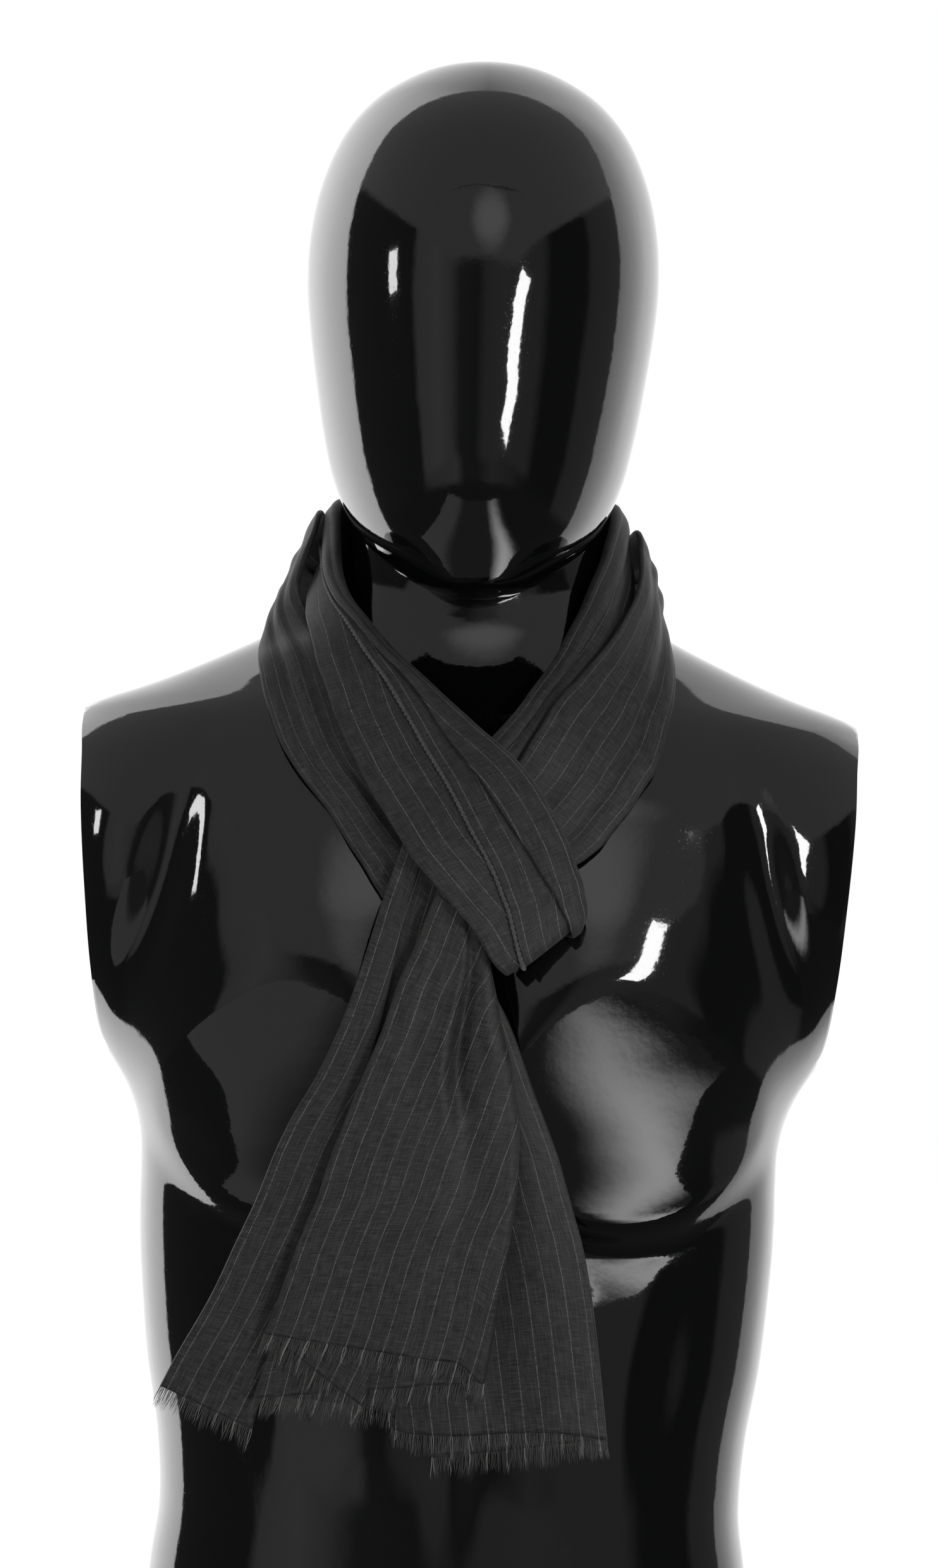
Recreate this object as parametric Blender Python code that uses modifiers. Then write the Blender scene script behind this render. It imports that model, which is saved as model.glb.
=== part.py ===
"""A long pinstriped silk scarf, tied as a pulled-through loop, on a smooth limbless display bust.

All tables are in millimetres. +Z is up and the bust faces -Y. The origin is the centre of the
bust's flat base. The scarf is folded once along its middle: two strands go round the neck as a
pair, and the two ends pass through the loop that the middle makes. Each strand is a row of
sections, and each section is the cloth's path from one selvedge to the other, through its folds.
"""

import math
from collections import namedtuple

import bpy
import bmesh
from mathutils import Vector

MM = 0.001

# ---------------------------------------------------------------- driving sizes, in millimetres
WALL = 1.0                    # the cloth's wall
SEAM_GAP = 0.6                # between the middles of two stretches, whose walls come closer
LAYER = 1.6                   # from one layer of the cloth to the next, where it lies folded
TURN_STEPS = 4                # facets round a fold's half circle
STEP_HERE = 0.3               # part of a row's length, over which a direction is measured
NECK_AXIS_Y = 8.0             # the neck's and chest's axis stands a little behind the origin
NECK_TOP = 540.0              # where the neck ends, inside the head
CHEST_LOW = 158.0             # between these heights the bust has twice as many rings
CHEST_HIGH = 395.0
SIDE_ANGLE = 14.0             # degrees that the flat side takes of a ring, at least, each way
FRONT_STEPS = 12              # facets of a half ring: its front, its side and its back
SIDE_STEPS = 3
BACK_STEPS = 7
HEAD_STEPS = 28
INNER_CROWN = 0.5             # how far the strands and the tails stand out along their middles
OUTER_CROWN = 0.8
TAIL_CROWN = 0.6
HEM_ROLL = 2.0                # diameter of the rolled, whipped edge
HEM_LIFT = 0.6                # how far the roll's middle stands out from the edge that it rounds
FRINGE_LENGTH = 10.5          # the frayed ends below their strip
FRINGE_STRIP = 2.0            # height of the strip that holds the strands' roots
FRONT_STRANDS = 105           # frayed ends along the front tail's edge
BACK_STRANDS = 125            # and along the back tail's

COLLECTION = "silk_scarf_on_display_bust"

# ---------------------------------------------------------------- the bust, a row for each ring
Ring = namedtuple("Ring", "z half_width cut front back squareness")
BODY_RINGS = [
    Ring(0, 142, 142, 86, 98, 2.3),
    Ring(20, 140, 140, 85, 94, 2.3),
    Ring(45, 137, 137, 84, 90, 2.3),
    Ring(78, 139, 139, 83, 88, 2.3),
    Ring(115, 145, 145, 84, 88, 2.3),
    Ring(158, 149, 149, 84, 92, 2.3),
    Ring(182, 150, 150, 84, 96, 2.35),
    Ring(200, 150, 150, 86, 99, 2.35),
    Ring(219, 151, 151, 90, 103, 2.4),
    Ring(238, 157, 156, 94, 106, 2.4),
    Ring(262, 172, 168, 97, 109, 2.4),
    Ring(296, 192, 173, 100, 111, 2.4),
    Ring(333, 204, 176, 101, 111, 2.4),
    Ring(371, 207, 179, 96, 108, 2.4),
    Ring(395, 203, 180, 87, 103, 2.35),
    Ring(410, 192, 181, 79, 98, 2.3),
    Ring(419, 178, 178, 73.5, 93, 2.25),
    Ring(429, 150, 150, 68, 87, 2.15),
    Ring(440, 124, 124, 62.5, 81, 2.1),
    Ring(454, 95, 95, 57.5, 75, 2.05),
    Ring(466, 77, 77, 56, 70, 2.0),
    Ring(480, 66, 66, 55, 66, 2.0),
    Ring(500, 61, 61, 54, 63, 2.0),
    Ring(NECK_TOP, 60, 60, 54, 61, 2.0),
]

# Muscles and grooves, alike on both sides of the bust. x and z are a row's middle, half_x and
# half_z its reach, and turn leans its top towards the breastbone, in degrees. soft_low and
# soft_high are the shares of the reach over which it fades, below its middle and above it.
Relief = namedtuple("Relief", "side x z half_x half_z turn soft_low soft_high height")
BODY_RELIEF = [
    Relief("front", 76, 270, 88, 100, 0, 0.16, 0.85, 13),     # chest muscle
    Relief("front", 0, 265, 24, 110, 0, 1.0, 1.0, -4),        # breastbone
    Relief("front", 180, 347, 46, 60, 0, 1.0, 1.0, 9),        # front of the shoulder
    Relief("front", 140, 338, 17, 84, 14, 1.0, 1.0, -6),      # crease beside the arm
    Relief("front", 143, 332, 36, 90, 14, 1.0, 1.0, -4),      # and the hollow round it
    Relief("front", 0, 100, 16, 90, 0, 1.0, 1.0, -3),         # middle of the belly
    Relief("front", 38, 140, 34, 30, 0, 1.0, 1.0, 3),         # belly
    Relief("front", 37, 80, 32, 36, 0, 1.0, 1.0, 2.5),
    Relief("front", 98, 115, 20, 72, -8, 1.0, 1.0, -3),       # flank
    Relief("back", 0, 250, 26, 200, 0, 1.0, 1.0, -6),         # spine
    Relief("back", 84, 320, 60, 84, 12, 0.8, 0.9, 5),         # shoulder blade
]

HeadRing = namedtuple("HeadRing", "z half_width half_depth centre_y")
HEAD_RINGS = [
    HeadRing(470, 7, 8, -66),
    HeadRing(474, 22, 24, -62),
    HeadRing(484, 38, 44, -50),
    HeadRing(501, 56, 71, -33),
    HeadRing(524, 67, 87, -24),
    HeadRing(548, 73, 93, -21),
    HeadRing(571, 77, 96, -19),
    HeadRing(595, 80.5, 99, -17),
    HeadRing(618, 82.5, 101, -15),
    HeadRing(642, 81.5, 100, -13),
    HeadRing(666, 76.5, 94, -11),
    HeadRing(688, 67, 83, -10),
    HeadRing(704, 54, 68, -9),
    HeadRing(715, 38, 49, -8),
    HeadRing(721, 23, 30, -8),
    HeadRing(724, 7, 9, -8),
]

# ---------------------------------------------------------------- the two strands round the neck
# low is the border that lies lower or further out, high is the one nearer the neck. hem is the
# place of the rolled free edge and pleat that of the long pleat, as shares of the way from low
# to high. puff scales the height of the layers.
InnerRow = namedtuple("InnerRow", "low high hem pleat puff")
INNER_RIGHT = [
    InnerRow((5, -101, 371), (-12, -103, 382), 0.1, 0.66, 0.95),
    InnerRow((17, -99, 381), (-2, -101, 394), 0.1, 0.66, 0.95),
    InnerRow((29, -95, 391), (9, -96, 406), 0.1, 0.66, 0.95),
    InnerRow((38, -88, 406), (20, -88, 418), 0.1, 0.66, 0.95),
    InnerRow((48, -79, 420), (29, -79, 431), 0.1, 0.66, 0.95),
    InnerRow((58, -67, 433), (38, -69, 445), 0.1, 0.66, 0.95),
    InnerRow((67, -54, 446), (46, -57, 461), 0.1, 0.66, 0.95),
    InnerRow((73, -35, 461), (54, -41, 479), 0.1, 0.66, 0.95),
    InnerRow((75, -13, 476), (60, -21, 497), 0.1, 0.64, 1.0),
]
FRONT_BAND = [
    InnerRow((-76, -12, 480), (-64, -15, 500), 0.5, 0.68, 0.95),
    InnerRow((-78, -28, 472), (-62, -35, 484), 0.58, 0.67, 0.95),
    InnerRow((-78, -44, 462), (-56, -54, 469), 0.65, 0.72, 0.95),
    InnerRow((-75, -59, 451), (-47, -66, 458), 0.67, 0.79, 1.0),
    InnerRow((-70, -73, 436), (-34, -77, 444), 0.66, 0.82, 1.0),
    InnerRow((-62, -89, 415), (-16, -90, 428), 0.62, 0.83, 1.0),
    InnerRow((-50, -102, 391), (4, -103, 411), 0.55, 0.75, 1.0),
    InnerRow((-35, -121, 367), (24, -116, 393), 0.48, 0.71, 1.0),
    InnerRow((-21, -131, 348), (38, -124, 374), 0.44, 0.71, 1.0),
    InnerRow((-8, -134, 333), (47, -130, 355), 0.40, 0.73, 1.0),
    InnerRow((3, -136, 321), (52, -132, 342), 0.34, 0.76, 1.0),
    InnerRow((12, -135, 307), (54, -132, 333), 0.27, 0.79, 1.0),
    InnerRow((19, -127, 299), (53, -125, 327), 0.2, 0.8, 1.0),
    InnerRow((19, -116, 301), (49, -115, 327), 0.2, 0.8, 0.9),
]

# ridge is the height of the long soft pleats on the outer strand.
OuterRow = namedtuple("OuterRow", "low high ridge")
OUTER_RIGHT = [
    OuterRow((41, -108, 347), (3, -110, 362), 0.6),
    OuterRow((50, -106, 350), (8, -109, 372), 0.6),
    OuterRow((60, -104, 358), (14, -107, 386), 0.7),
    OuterRow((69, -100, 369), (22, -103, 396), 0.8),
    OuterRow((77, -95, 380), (31, -97, 411), 0.9),
    OuterRow((84, -89, 392), (41, -87, 426), 0.9),
    OuterRow((89, -80, 407), (51, -77, 438), 0.9),
    OuterRow((93, -69, 424), (61, -66, 450), 1.0),
    OuterRow((94, -52, 440), (71, -46, 465), 1.0),
    OuterRow((92, -30, 453), (78, -24, 482), 1.0),
    OuterRow((89, -10, 463), (78.5, -6, 498), 1.0),
]
LOOP_BACK = [
    OuterRow((-95, -10, 461), (-76, -8, 504), 1.0),
    OuterRow((-98, -28, 453), (-82.5, -24, 478), 1.0),
    OuterRow((-99, -44, 445), (-74, -39, 459), 1.2),
    OuterRow((-98, -59, 436), (-66, -54, 450), 1.3),
    OuterRow((-94, -73, 420), (-59, -68, 434), 1.5),
    OuterRow((-85, -87, 399), (-50, -84, 411), 1.5),
    OuterRow((-72, -95, 381), (-40, -93, 392), 1.4),
    OuterRow((-59, -101, 364), (-26, -100, 375), 1.2),
    OuterRow((-45, -106, 344), (-11, -106, 359), 1.0),
    OuterRow((-38, -107, 332), (-2, -107, 351), 0.8),
]

# the stretch behind the neck: the height of each border and its distance off the bust, at angles
# that run from the right side, by the nape, to the left side
WrapRow = namedtuple("WrapRow", "angle low_z low_off high_z high_off")
INNER_WRAP = [
    WrapRow(0, 488, 8, 517, 4.5),
    WrapRow(22, 483, 6, 520, 4),
    WrapRow(45, 479, 5, 521, 4),
    WrapRow(67, 477, 4.5, 521, 4),
    WrapRow(90, 476, 4.5, 521, 4),
    WrapRow(113, 477, 4.5, 521, 4),
    WrapRow(135, 479, 5, 521, 4),
    WrapRow(158, 483, 6, 520, 4),
    WrapRow(180, 488, 8, 516, 4.5),
]
OUTER_WRAP = [
    WrapRow(0, 472, 17, 507, 16),
    WrapRow(22, 467, 16, 504, 16.5),
    WrapRow(45, 461, 14.5, 500, 16),
    WrapRow(67, 458, 13.5, 499, 15.5),
    WrapRow(90, 457, 13.5, 499, 15.5),
    WrapRow(113, 458, 13.5, 499, 15.5),
    WrapRow(135, 461, 14.5, 499, 16),
    WrapRow(158, 465, 16, 507, 15),
    WrapRow(180, 469, 17, 513, 13.5),
]

# ---------------------------------------------------------------- the two tails
# spread scales the distance between the layers, valley is how deep the long valley is, at the
# share valley_at of the way across, and hang is how much of the flaps' own length shows.
TailRow = namedtuple("TailRow", "low high spread valley valley_at hang")
TAIL_FRONT = [
    TailRow((-11, -126, 341), (7, -126, 325), 0.9, 0.5, 0.66, 0.0),
    TailRow((-19, -126, 320), (12, -126, 303), 1.1, 1.5, 0.72, 0.0),
    TailRow((-29, -126, 294), (17, -126, 280), 1.8, 4.2, 0.66, 0.0),
    TailRow((-40, -126, 263), (23, -126, 258), 2.0, 4.6, 0.61, 0.0),
    TailRow((-53, -126, 228), (27, -126, 229), 2.0, 2.4, 0.69, 0.1),
    TailRow((-64, -126, 196), (27, -126, 200), 1.7, 0.8, 0.75, 0.3),
    TailRow((-75, -126, 164), (23, -126, 168), 1.4, 0.3, 0.75, 0.6),
    TailRow((-85, -126, 135), (16, -126, 122), 1.2, 0.0, 0.75, 1.0),
]
TAIL_BACK = [
    TailRow((-29, -116, 357), (10, -116, 322), 1.0, 0.3, 0.8, 0.0),
    TailRow((-39, -115, 327), (10, -115, 300), 1.0, 0.6, 0.8, 0.0),
    TailRow((-49, -115, 291), (21, -115, 277), 1.1, 1.2, 0.8, 0.0),
    TailRow((-63, -114, 256), (32, -114, 250), 1.1, 1.8, 0.8, 0.0),
    TailRow((-79, -113, 225), (43, -113, 222), 1.1, 2.2, 0.8, 0.1),
    TailRow((-94, -113, 187), (52, -113, 196), 1.1, 2.2, 0.8, 0.3),
    TailRow((-112, -113, 147), (62, -113, 158), 1.1, 2.2, 0.8, 0.6),
    TailRow((-132, -114, 109), (71, -114, 94), 1.1, 2.0, 0.8, 1.0),
]

# ---------------------------------------------------------------- finishes
Finish = namedtuple("Finish", "name colour roughness metallic")
CLOTH = Finish("charcoal_silk", (0.028, 0.028, 0.031), 0.75, 0.0)
EDGE = Finish("whipped_edge", (0.045, 0.045, 0.052), 0.7, 0.0)
GLOSS = Finish("gloss_black_form", (0.006, 0.006, 0.006), 0.06, 0.0)


# ================================================================ helpers
def clear_scene():
    for item in list(bpy.data.objects):
        bpy.data.objects.remove(item, do_unlink=True)


def make_material(finish):
    material = bpy.data.materials.new(finish.name)
    material.use_nodes = True
    shader = material.node_tree.nodes["Principled BSDF"]
    shader.inputs["Base Color"].default_value = (*finish.colour, 1.0)
    shader.inputs["Roughness"].default_value = finish.roughness
    shader.inputs["Metallic"].default_value = finish.metallic
    return material


def add_object(name, mesh, finish, collection):
    piece = bpy.data.objects.new(name, mesh)
    piece.data.materials.append(make_material(finish))
    collection.objects.link(piece)
    return piece


def blend(first, second, share):
    """A value, or a row of values, part of the way from first to second."""
    if isinstance(first, (int, float)):
        return first + (second - first) * share
    return tuple(blend(a, b, share) for a, b in zip(first, second))


def curve_through(before, start, end, after, share):
    """A point of the Catmull-Rom curve from start to end."""
    if isinstance(start, (int, float)):
        slope_in = (end - before) / 2
        slope_out = (after - start) / 2
        rise = end - start
        cube = slope_in + slope_out - 2 * rise
        square = 3 * rise - 2 * slope_in - slope_out
        return start + share * (slope_in + share * (square + share * cube))
    quads = zip(before, start, end, after)
    return tuple(curve_through(a, b, c, d, share) for a, b, c, d in quads)


def row_at(rows, place):
    """The row at a place that counts rows, read from a smooth curve through all of them."""
    index = min(int(place), len(rows) - 2)
    before = rows[max(index - 1, 0)]
    after = rows[min(index + 2, len(rows) - 1)]
    values = curve_through(before, rows[index], rows[index + 1], after, place - index)
    return type(rows[0])(*values)


# ================================================================ the bust
def ring_at(z):
    """The chest's or neck's ring at a height."""
    for lower, upper in zip(BODY_RINGS, BODY_RINGS[1:]):
        if z <= upper.z:
            share = max(0.0, (z - lower.z) / (upper.z - lower.z))
            return Ring(*blend(tuple(lower), tuple(upper), share))
    return BODY_RINGS[-1]


def smooth_step(share):
    share = min(max(share, 0.0), 1.0)
    return share * share * (3 - 2 * share)


def relief_at(side, x, z):
    """How far the muscles stand out from the plain ring, less how deep the grooves lie."""
    total = 0.0
    for relief in BODY_RELIEF:
        turn = math.radians(relief.turn)
        across, up = abs(x) - relief.x, z - relief.z
        out = (across * math.cos(turn) + up * math.sin(turn)) / relief.half_x
        high = (up * math.cos(turn) - across * math.sin(turn)) / relief.half_z
        reach = math.hypot(out, high)
        if relief.side == side and reach < 1:
            soft = blend(relief.soft_low, relief.soft_high, smooth_step(0.5 + high))
            total += relief.height * smooth_step((1 - reach) / soft)
    return total


def neck_point(angle, z, off):
    """A point at a distance off the bust, in the direction angle round the neck's axis."""
    ring = ring_at(z)
    cosine, sine = math.cos(angle), math.sin(angle)
    depth = ring.back - NECK_AXIS_Y if sine > 0 else ring.front + NECK_AXIS_Y
    power = ring.squareness
    reach = (abs(cosine / ring.half_width) ** power + abs(sine / depth) ** power) ** (-1 / power)
    reach += off
    return (reach * cosine, NECK_AXIS_Y + reach * sine, z)


def body_ring_points(ring):
    """A ring of the chest, whose sides are cut flat where the arms would start."""
    cut_angle = math.acos(min(1.0, ring.cut / ring.half_width) ** (ring.squareness / 2))
    side_angle = max(math.radians(SIDE_ANGLE), cut_angle)
    swing = math.pi / 2 - side_angle
    angles = [-math.pi / 2 + swing * i / FRONT_STEPS for i in range(FRONT_STEPS)]
    angles += [-side_angle + 2 * side_angle * i / SIDE_STEPS for i in range(SIDE_STEPS)]
    angles += [side_angle + swing * i / BACK_STEPS for i in range(BACK_STEPS + 1)]
    half = []
    for angle in angles:
        cosine, sine = math.cos(angle), math.sin(angle)
        x = ring.half_width * abs(cosine) ** (2 / ring.squareness)
        share = abs(sine) ** (2 / ring.squareness)
        if sine > 0:
            y = NECK_AXIS_Y + (ring.back - NECK_AXIS_Y + relief_at("back", x, ring.z)) * share
        else:
            y = NECK_AXIS_Y - (ring.front + NECK_AXIS_Y + relief_at("front", x, ring.z)) * share
        half.append((min(x, ring.cut), y, ring.z))
    mirrored = [(-x, y, z) for x, y, z in reversed(half[1:-1])]
    return half + mirrored


def head_ring_points(ring):
    points = []
    for i in range(HEAD_STEPS):
        angle = 2 * math.pi * i / HEAD_STEPS - math.pi / 2
        x = ring.half_width * math.cos(angle)
        y = ring.centre_y + ring.half_depth * math.sin(angle)
        points.append((x, y, ring.z))
    return points


def lofted_mesh(name, rings):
    """A closed mesh through rings that have the same number of points."""
    shape = bmesh.new()
    loops = [[shape.verts.new(Vector(point) * MM) for point in ring] for ring in rings]
    count = len(loops[0])
    for lower, upper in zip(loops, loops[1:]):
        for i in range(count):
            j = (i + 1) % count
            shape.faces.new((lower[i], lower[j], upper[j], upper[i]))
    shape.faces.new(list(reversed(loops[0])))
    shape.faces.new(loops[-1])
    bmesh.ops.recalc_face_normals(shape, faces=shape.faces[:])
    mesh = bpy.data.meshes.new(name)
    shape.to_mesh(mesh)
    shape.free()
    mesh.shade_smooth()
    mesh.set_sharp_from_angle(angle=math.radians(40))
    return mesh


def build_bust(collection, shapes):
    """The head is joined to the neck, so that the bust is one smooth body."""
    head = lofted_mesh("head_shape", [head_ring_points(ring) for ring in HEAD_RINGS])
    head_shape = add_object("head_shape", head, GLOSS, shapes)
    head_shape.hide_render = True
    head_shape.display_type = "WIRE"
    rings = []
    for place, ring in enumerate(BODY_RINGS):
        rings.append(body_ring_points(ring))
        if CHEST_LOW <= ring.z < CHEST_HIGH:
            rings.append(body_ring_points(row_at(BODY_RINGS, place + 0.5)))
    body = lofted_mesh("form_bust", rings)
    bust = add_object("form_bust", body, GLOSS, collection)
    joined = bust.modifiers.new("head", "BOOLEAN")
    joined.operation = "UNION"
    joined.solver = "EXACT"
    joined.object = head_shape


# ================================================================ the cloth
# A fold is a place on the cloth's way across a section: its share of the way from the low border
# to the high one, the level at which the cloth comes in and goes out, the steps of the panel
# after it, and how far the cloth hangs down there beyond the section's own line.
Fold = namedtuple("Fold", "at level_in level_out steps drop", defaults=(1, 0.0))
Station = namedtuple("Station", "low high out along")


def spread_steps(knots, steps):
    """Points on a smooth panel through its knots, the first one left out."""
    points = []
    last = len(knots) - 1
    for i in range(last):
        before = knots[max(i - 1, 0)]
        after = knots[min(i + 2, last)]
        for j in range(1, steps[i] + 1):
            points.append(curve_through(before, knots[i], knots[i + 1], after, j / steps[i]))
    return points


def cloth_path(width, folds):
    """The cloth's path across one section: across, level and drop of each point."""
    knots = []
    steps = []
    path = []
    for number, fold in enumerate(folds):
        across = fold.at * width
        if fold.level_in == fold.level_out:
            knots.append((across, fold.level_in, fold.drop))
            steps.append(fold.steps)
            continue
        side = 1.0 if fold.at > folds[number - 1].at else -1.0
        radius = abs(fold.level_out - fold.level_in) / 2
        centre = across - side * radius
        knots.append((centre, fold.level_in, fold.drop))
        path += ([knots[0]] if not path else []) + spread_steps(knots, steps)
        middle = (fold.level_in + fold.level_out) / 2
        half = (fold.level_in - fold.level_out) / 2
        for i in range(1, TURN_STEPS + 1):
            turn = math.pi * i / TURN_STEPS
            reach = centre + side * radius * math.sin(turn)
            path.append((reach, middle + half * math.cos(turn), fold.drop))
        knots = [path[-1]]
        steps = [fold.steps]
    path += ([knots[0]] if not path else []) + spread_steps(knots, steps)
    return path


def middle_at(rows, place):
    row = row_at(rows, min(max(place, 0.0), len(rows) - 1.0))
    return (Vector(row.low) + Vector(row.high)) / 2


def station_at(rows, place):
    """Where a section stands: its two borders, and its outward and onward directions."""
    row = row_at(rows, place)
    low, high = Vector(row.low), Vector(row.high)
    along = middle_at(rows, place + STEP_HERE) - middle_at(rows, place - STEP_HERE)
    return Station(low, high, along.cross(high - low).normalized(), along.normalized())


def section_points(station, recipe, row, crown):
    """The points of one section of the cloth, in space."""
    width = (station.high - station.low).length
    folds = recipe(row, width)
    across = (station.high - station.low).normalized()
    points = []
    for reach, level, drop in cloth_path(width, folds):
        share = min(max(reach / width, 0.0), 1.0)
        lift = level + crown * 4 * share * (1 - share)
        points.append(station.low + across * reach + station.out * lift + station.along * drop)
    return points


def seam_trim(rows, place):
    """How far short of a place the cloth stops, so that half a seam's gap is left there."""
    index = min(int(place), len(rows) - 2)
    first, second = rows[index], rows[index + 1]
    lengths = [(Vector(second.low) - Vector(first.low)).length]
    lengths.append((Vector(second.high) - Vector(first.high)).length)
    return SEAM_GAP / 2 / min(lengths)


def cloth_sections(rows, start, end, recipe, crown, parts_per_row=1):
    """Sections from one place of a strand to another, with half a seam's gap left at each end."""
    count = (end - start) * parts_per_row
    places = [start + i / parts_per_row for i in range(count + 1)]
    places[0] += seam_trim(rows, start)
    places[-1] -= seam_trim(rows, end)
    sections = []
    for place in places:
        station = station_at(rows, place)
        sections.append(section_points(station, recipe, row_at(rows, place), crown))
    return sections


def wall_mesh(name, sections):
    """An open sheet through the sections."""
    sheet = bmesh.new()
    lines = [[sheet.verts.new(point * MM) for point in section] for section in sections]
    for first, second in zip(lines, lines[1:]):
        for i in range(len(first) - 1):
            sheet.faces.new((first[i], first[i + 1], second[i + 1], second[i]))
    mesh = bpy.data.meshes.new(name)
    sheet.to_mesh(mesh)
    sheet.free()
    mesh.shade_smooth()
    return mesh


def add_cloth(name, sections, collection):
    """A stretch of the cloth, with its wall's thickness on both sides of the sheet."""
    piece = add_object(name, wall_mesh(name, sections), CLOTH, collection)
    wall = piece.modifiers.new("wall", "SOLIDIFY")
    wall.thickness = WALL * MM
    wall.offset = 0.0
    return piece


def inner_folds(row, width):
    """From the rolled edge, by the pleat, round the high border, back under, and to the front."""
    step = LAYER * row.puff
    tuck = min(0.1, 0.45 * (1 - row.pleat - 1.5 * step / width))
    under = min(row.hem + 0.2, row.pleat - 0.04)
    back = -1.25 * step
    return [
        Fold(row.hem, step, step, 3),
        Fold(row.pleat + tuck, step, 2 * step, 1),
        Fold(row.pleat - 0.02, 2 * step, 3 * step, 1),
        Fold(row.pleat + tuck + 0.01, 3 * step, 3 * step, 2),
        Fold(1.0, 2 * step, back, 3),
        Fold(0.5, back, back, 3),
        Fold(0.0, back, 0.0, 2),
        Fold(0.3 * row.hem + 0.08, 0.45 * row.hem * step, 0.45 * row.hem * step, 2),
        Fold(under, -0.1 * step, -0.1 * step),
    ]


def outer_folds(row, width):
    """A flattened tube, open along the middle of its underside, with soft pleats on top."""
    under = -1.3 * LAYER
    return [
        Fold(0.44, under, under, 3),
        Fold(0.0, under, 0.2, 1),
        Fold(0.14, 0.2 + 0.5 * row.ridge, 0.2 + 0.5 * row.ridge, 2),
        Fold(0.3, -0.3 * row.ridge, -0.3 * row.ridge, 2),
        Fold(0.46, 0.9 * row.ridge, 0.9 * row.ridge, 2),
        Fold(0.62, -0.2 * row.ridge, -0.2 * row.ridge, 2),
        Fold(0.8, 0.7 * row.ridge, 0.7 * row.ridge, 2),
        Fold(1.0, 0.2, under, 3),
        Fold(0.56, under, under),
    ]


def tail_front_folds(row, width):
    """The flap behind the left border, the front panel with its valley, and the layer behind."""
    step = LAYER * 1.3 * row.spread
    at = row.valley_at
    return [
        Fold(0.5, -step, -step, 3, 26 * row.hang),
        Fold(0.0, -step, 0.0, 3, 0.0),
        Fold(at - 0.22, 0.3, 0.3, 2),
        Fold(at - 0.1, 0.25 * row.valley, 0.25 * row.valley, 2),
        Fold(at, -row.valley, -row.valley, 2),
        Fold(at + 0.12, -0.1 * row.valley, -0.1 * row.valley, 2),
        Fold(1.0, 0.0, -2 * step, 5, 7 * row.hang),
        Fold(0.02, -2 * step, -2 * step, 1, 30 * row.hang),
    ]


def tail_back_folds(row, width):
    """The flap in front of the left border, the wide panel behind, and the layer behind that."""
    step = LAYER * 1.2 * row.spread
    return [
        Fold(0.215, step, step, 3, 15 * row.hang),
        Fold(0.0, step, 0.0, 4, 0.0),
        Fold(0.48, 0.0, 0.0, 1, 0.0),
        Fold(0.53, 0.0, 0.0, 2, 9 * row.hang),
        Fold(0.66, 0.4 * row.valley, 0.4 * row.valley, 2, 9 * row.hang),
        Fold(0.76, -0.2 * row.valley, -0.2 * row.valley, 2, 6 * row.hang),
        Fold(0.88, 0.8 * row.valley, 0.8 * row.valley, 2, 3 * row.hang),
        Fold(1.0, 0.0, -step, 4, 4 * row.hang),
        Fold(0.62, -step, -step, 1, 20 * row.hang),
    ]


def wrap_borders(wrap):
    """The two borders behind the neck, and how far round each pair of points lies."""
    for row in wrap:
        turn = math.radians(row.angle)
        low = neck_point(turn, row.low_z, row.low_off)
        high = neck_point(turn, row.high_z, row.high_off)
        yield low, high, row.angle / 180


def inner_strand_rows():
    wrap = [
        InnerRow(low, high, 0.1 + 0.3 * share, 0.66 + 0.04 * share, 0.95)
        for low, high, share in wrap_borders(INNER_WRAP)
    ]
    return INNER_RIGHT + wrap + FRONT_BAND


def outer_strand_rows():
    wrap = [OuterRow(low, high, 1.0 + 0.3 * share) for low, high, share in wrap_borders(OUTER_WRAP)]
    return OUTER_RIGHT + wrap + LOOP_BACK


def build_strands(collection):
    inner = inner_strand_rows()
    right_end = len(INNER_RIGHT)
    left_start = right_end + len(INNER_WRAP) - 1
    add_cloth("strand_inner", cloth_sections(inner, 0, right_end, inner_folds, INNER_CROWN), collection)
    back = cloth_sections(inner, right_end, left_start, inner_folds, INNER_CROWN)
    add_cloth("wrap_inner", back, collection)
    front = cloth_sections(inner, left_start, len(inner) - 1, inner_folds, INNER_CROWN)
    add_cloth("loop_front", front, collection)
    outer = outer_strand_rows()
    right_end = len(OUTER_RIGHT)
    left_start = right_end + len(OUTER_WRAP) - 1
    add_cloth("strand_outer", cloth_sections(outer, 0, right_end, outer_folds, OUTER_CROWN), collection)
    back = cloth_sections(outer, right_end, left_start, outer_folds, OUTER_CROWN)
    add_cloth("wrap_outer", back, collection)
    side = cloth_sections(outer, left_start, len(outer) - 1, outer_folds, OUTER_CROWN)
    add_cloth("loop_back", side, collection)
    return front


def build_tails(collection):
    ends = {}
    for name, rows, recipe in (
        ("front", TAIL_FRONT, tail_front_folds),
        ("back", TAIL_BACK, tail_back_folds),
    ):
        sections = cloth_sections(rows, 0, len(rows) - 1, recipe, TAIL_CROWN, 2)
        add_cloth("tail_" + name, sections, collection)
        ends[name] = sections
    return ends


def even_line(points, count):
    """The same line with count equal steps."""
    lengths = [0.0]
    for first, second in zip(points, points[1:]):
        lengths.append(lengths[-1] + (second - first).length)
    line = []
    index = 0
    for i in range(count + 1):
        target = lengths[-1] * i / count
        while index < len(points) - 2 and lengths[index + 1] < target:
            index += 1
        share = (target - lengths[index]) / (lengths[index + 1] - lengths[index])
        line.append(points[index].lerp(points[index + 1], min(share, 1.0)))
    return line


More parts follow.
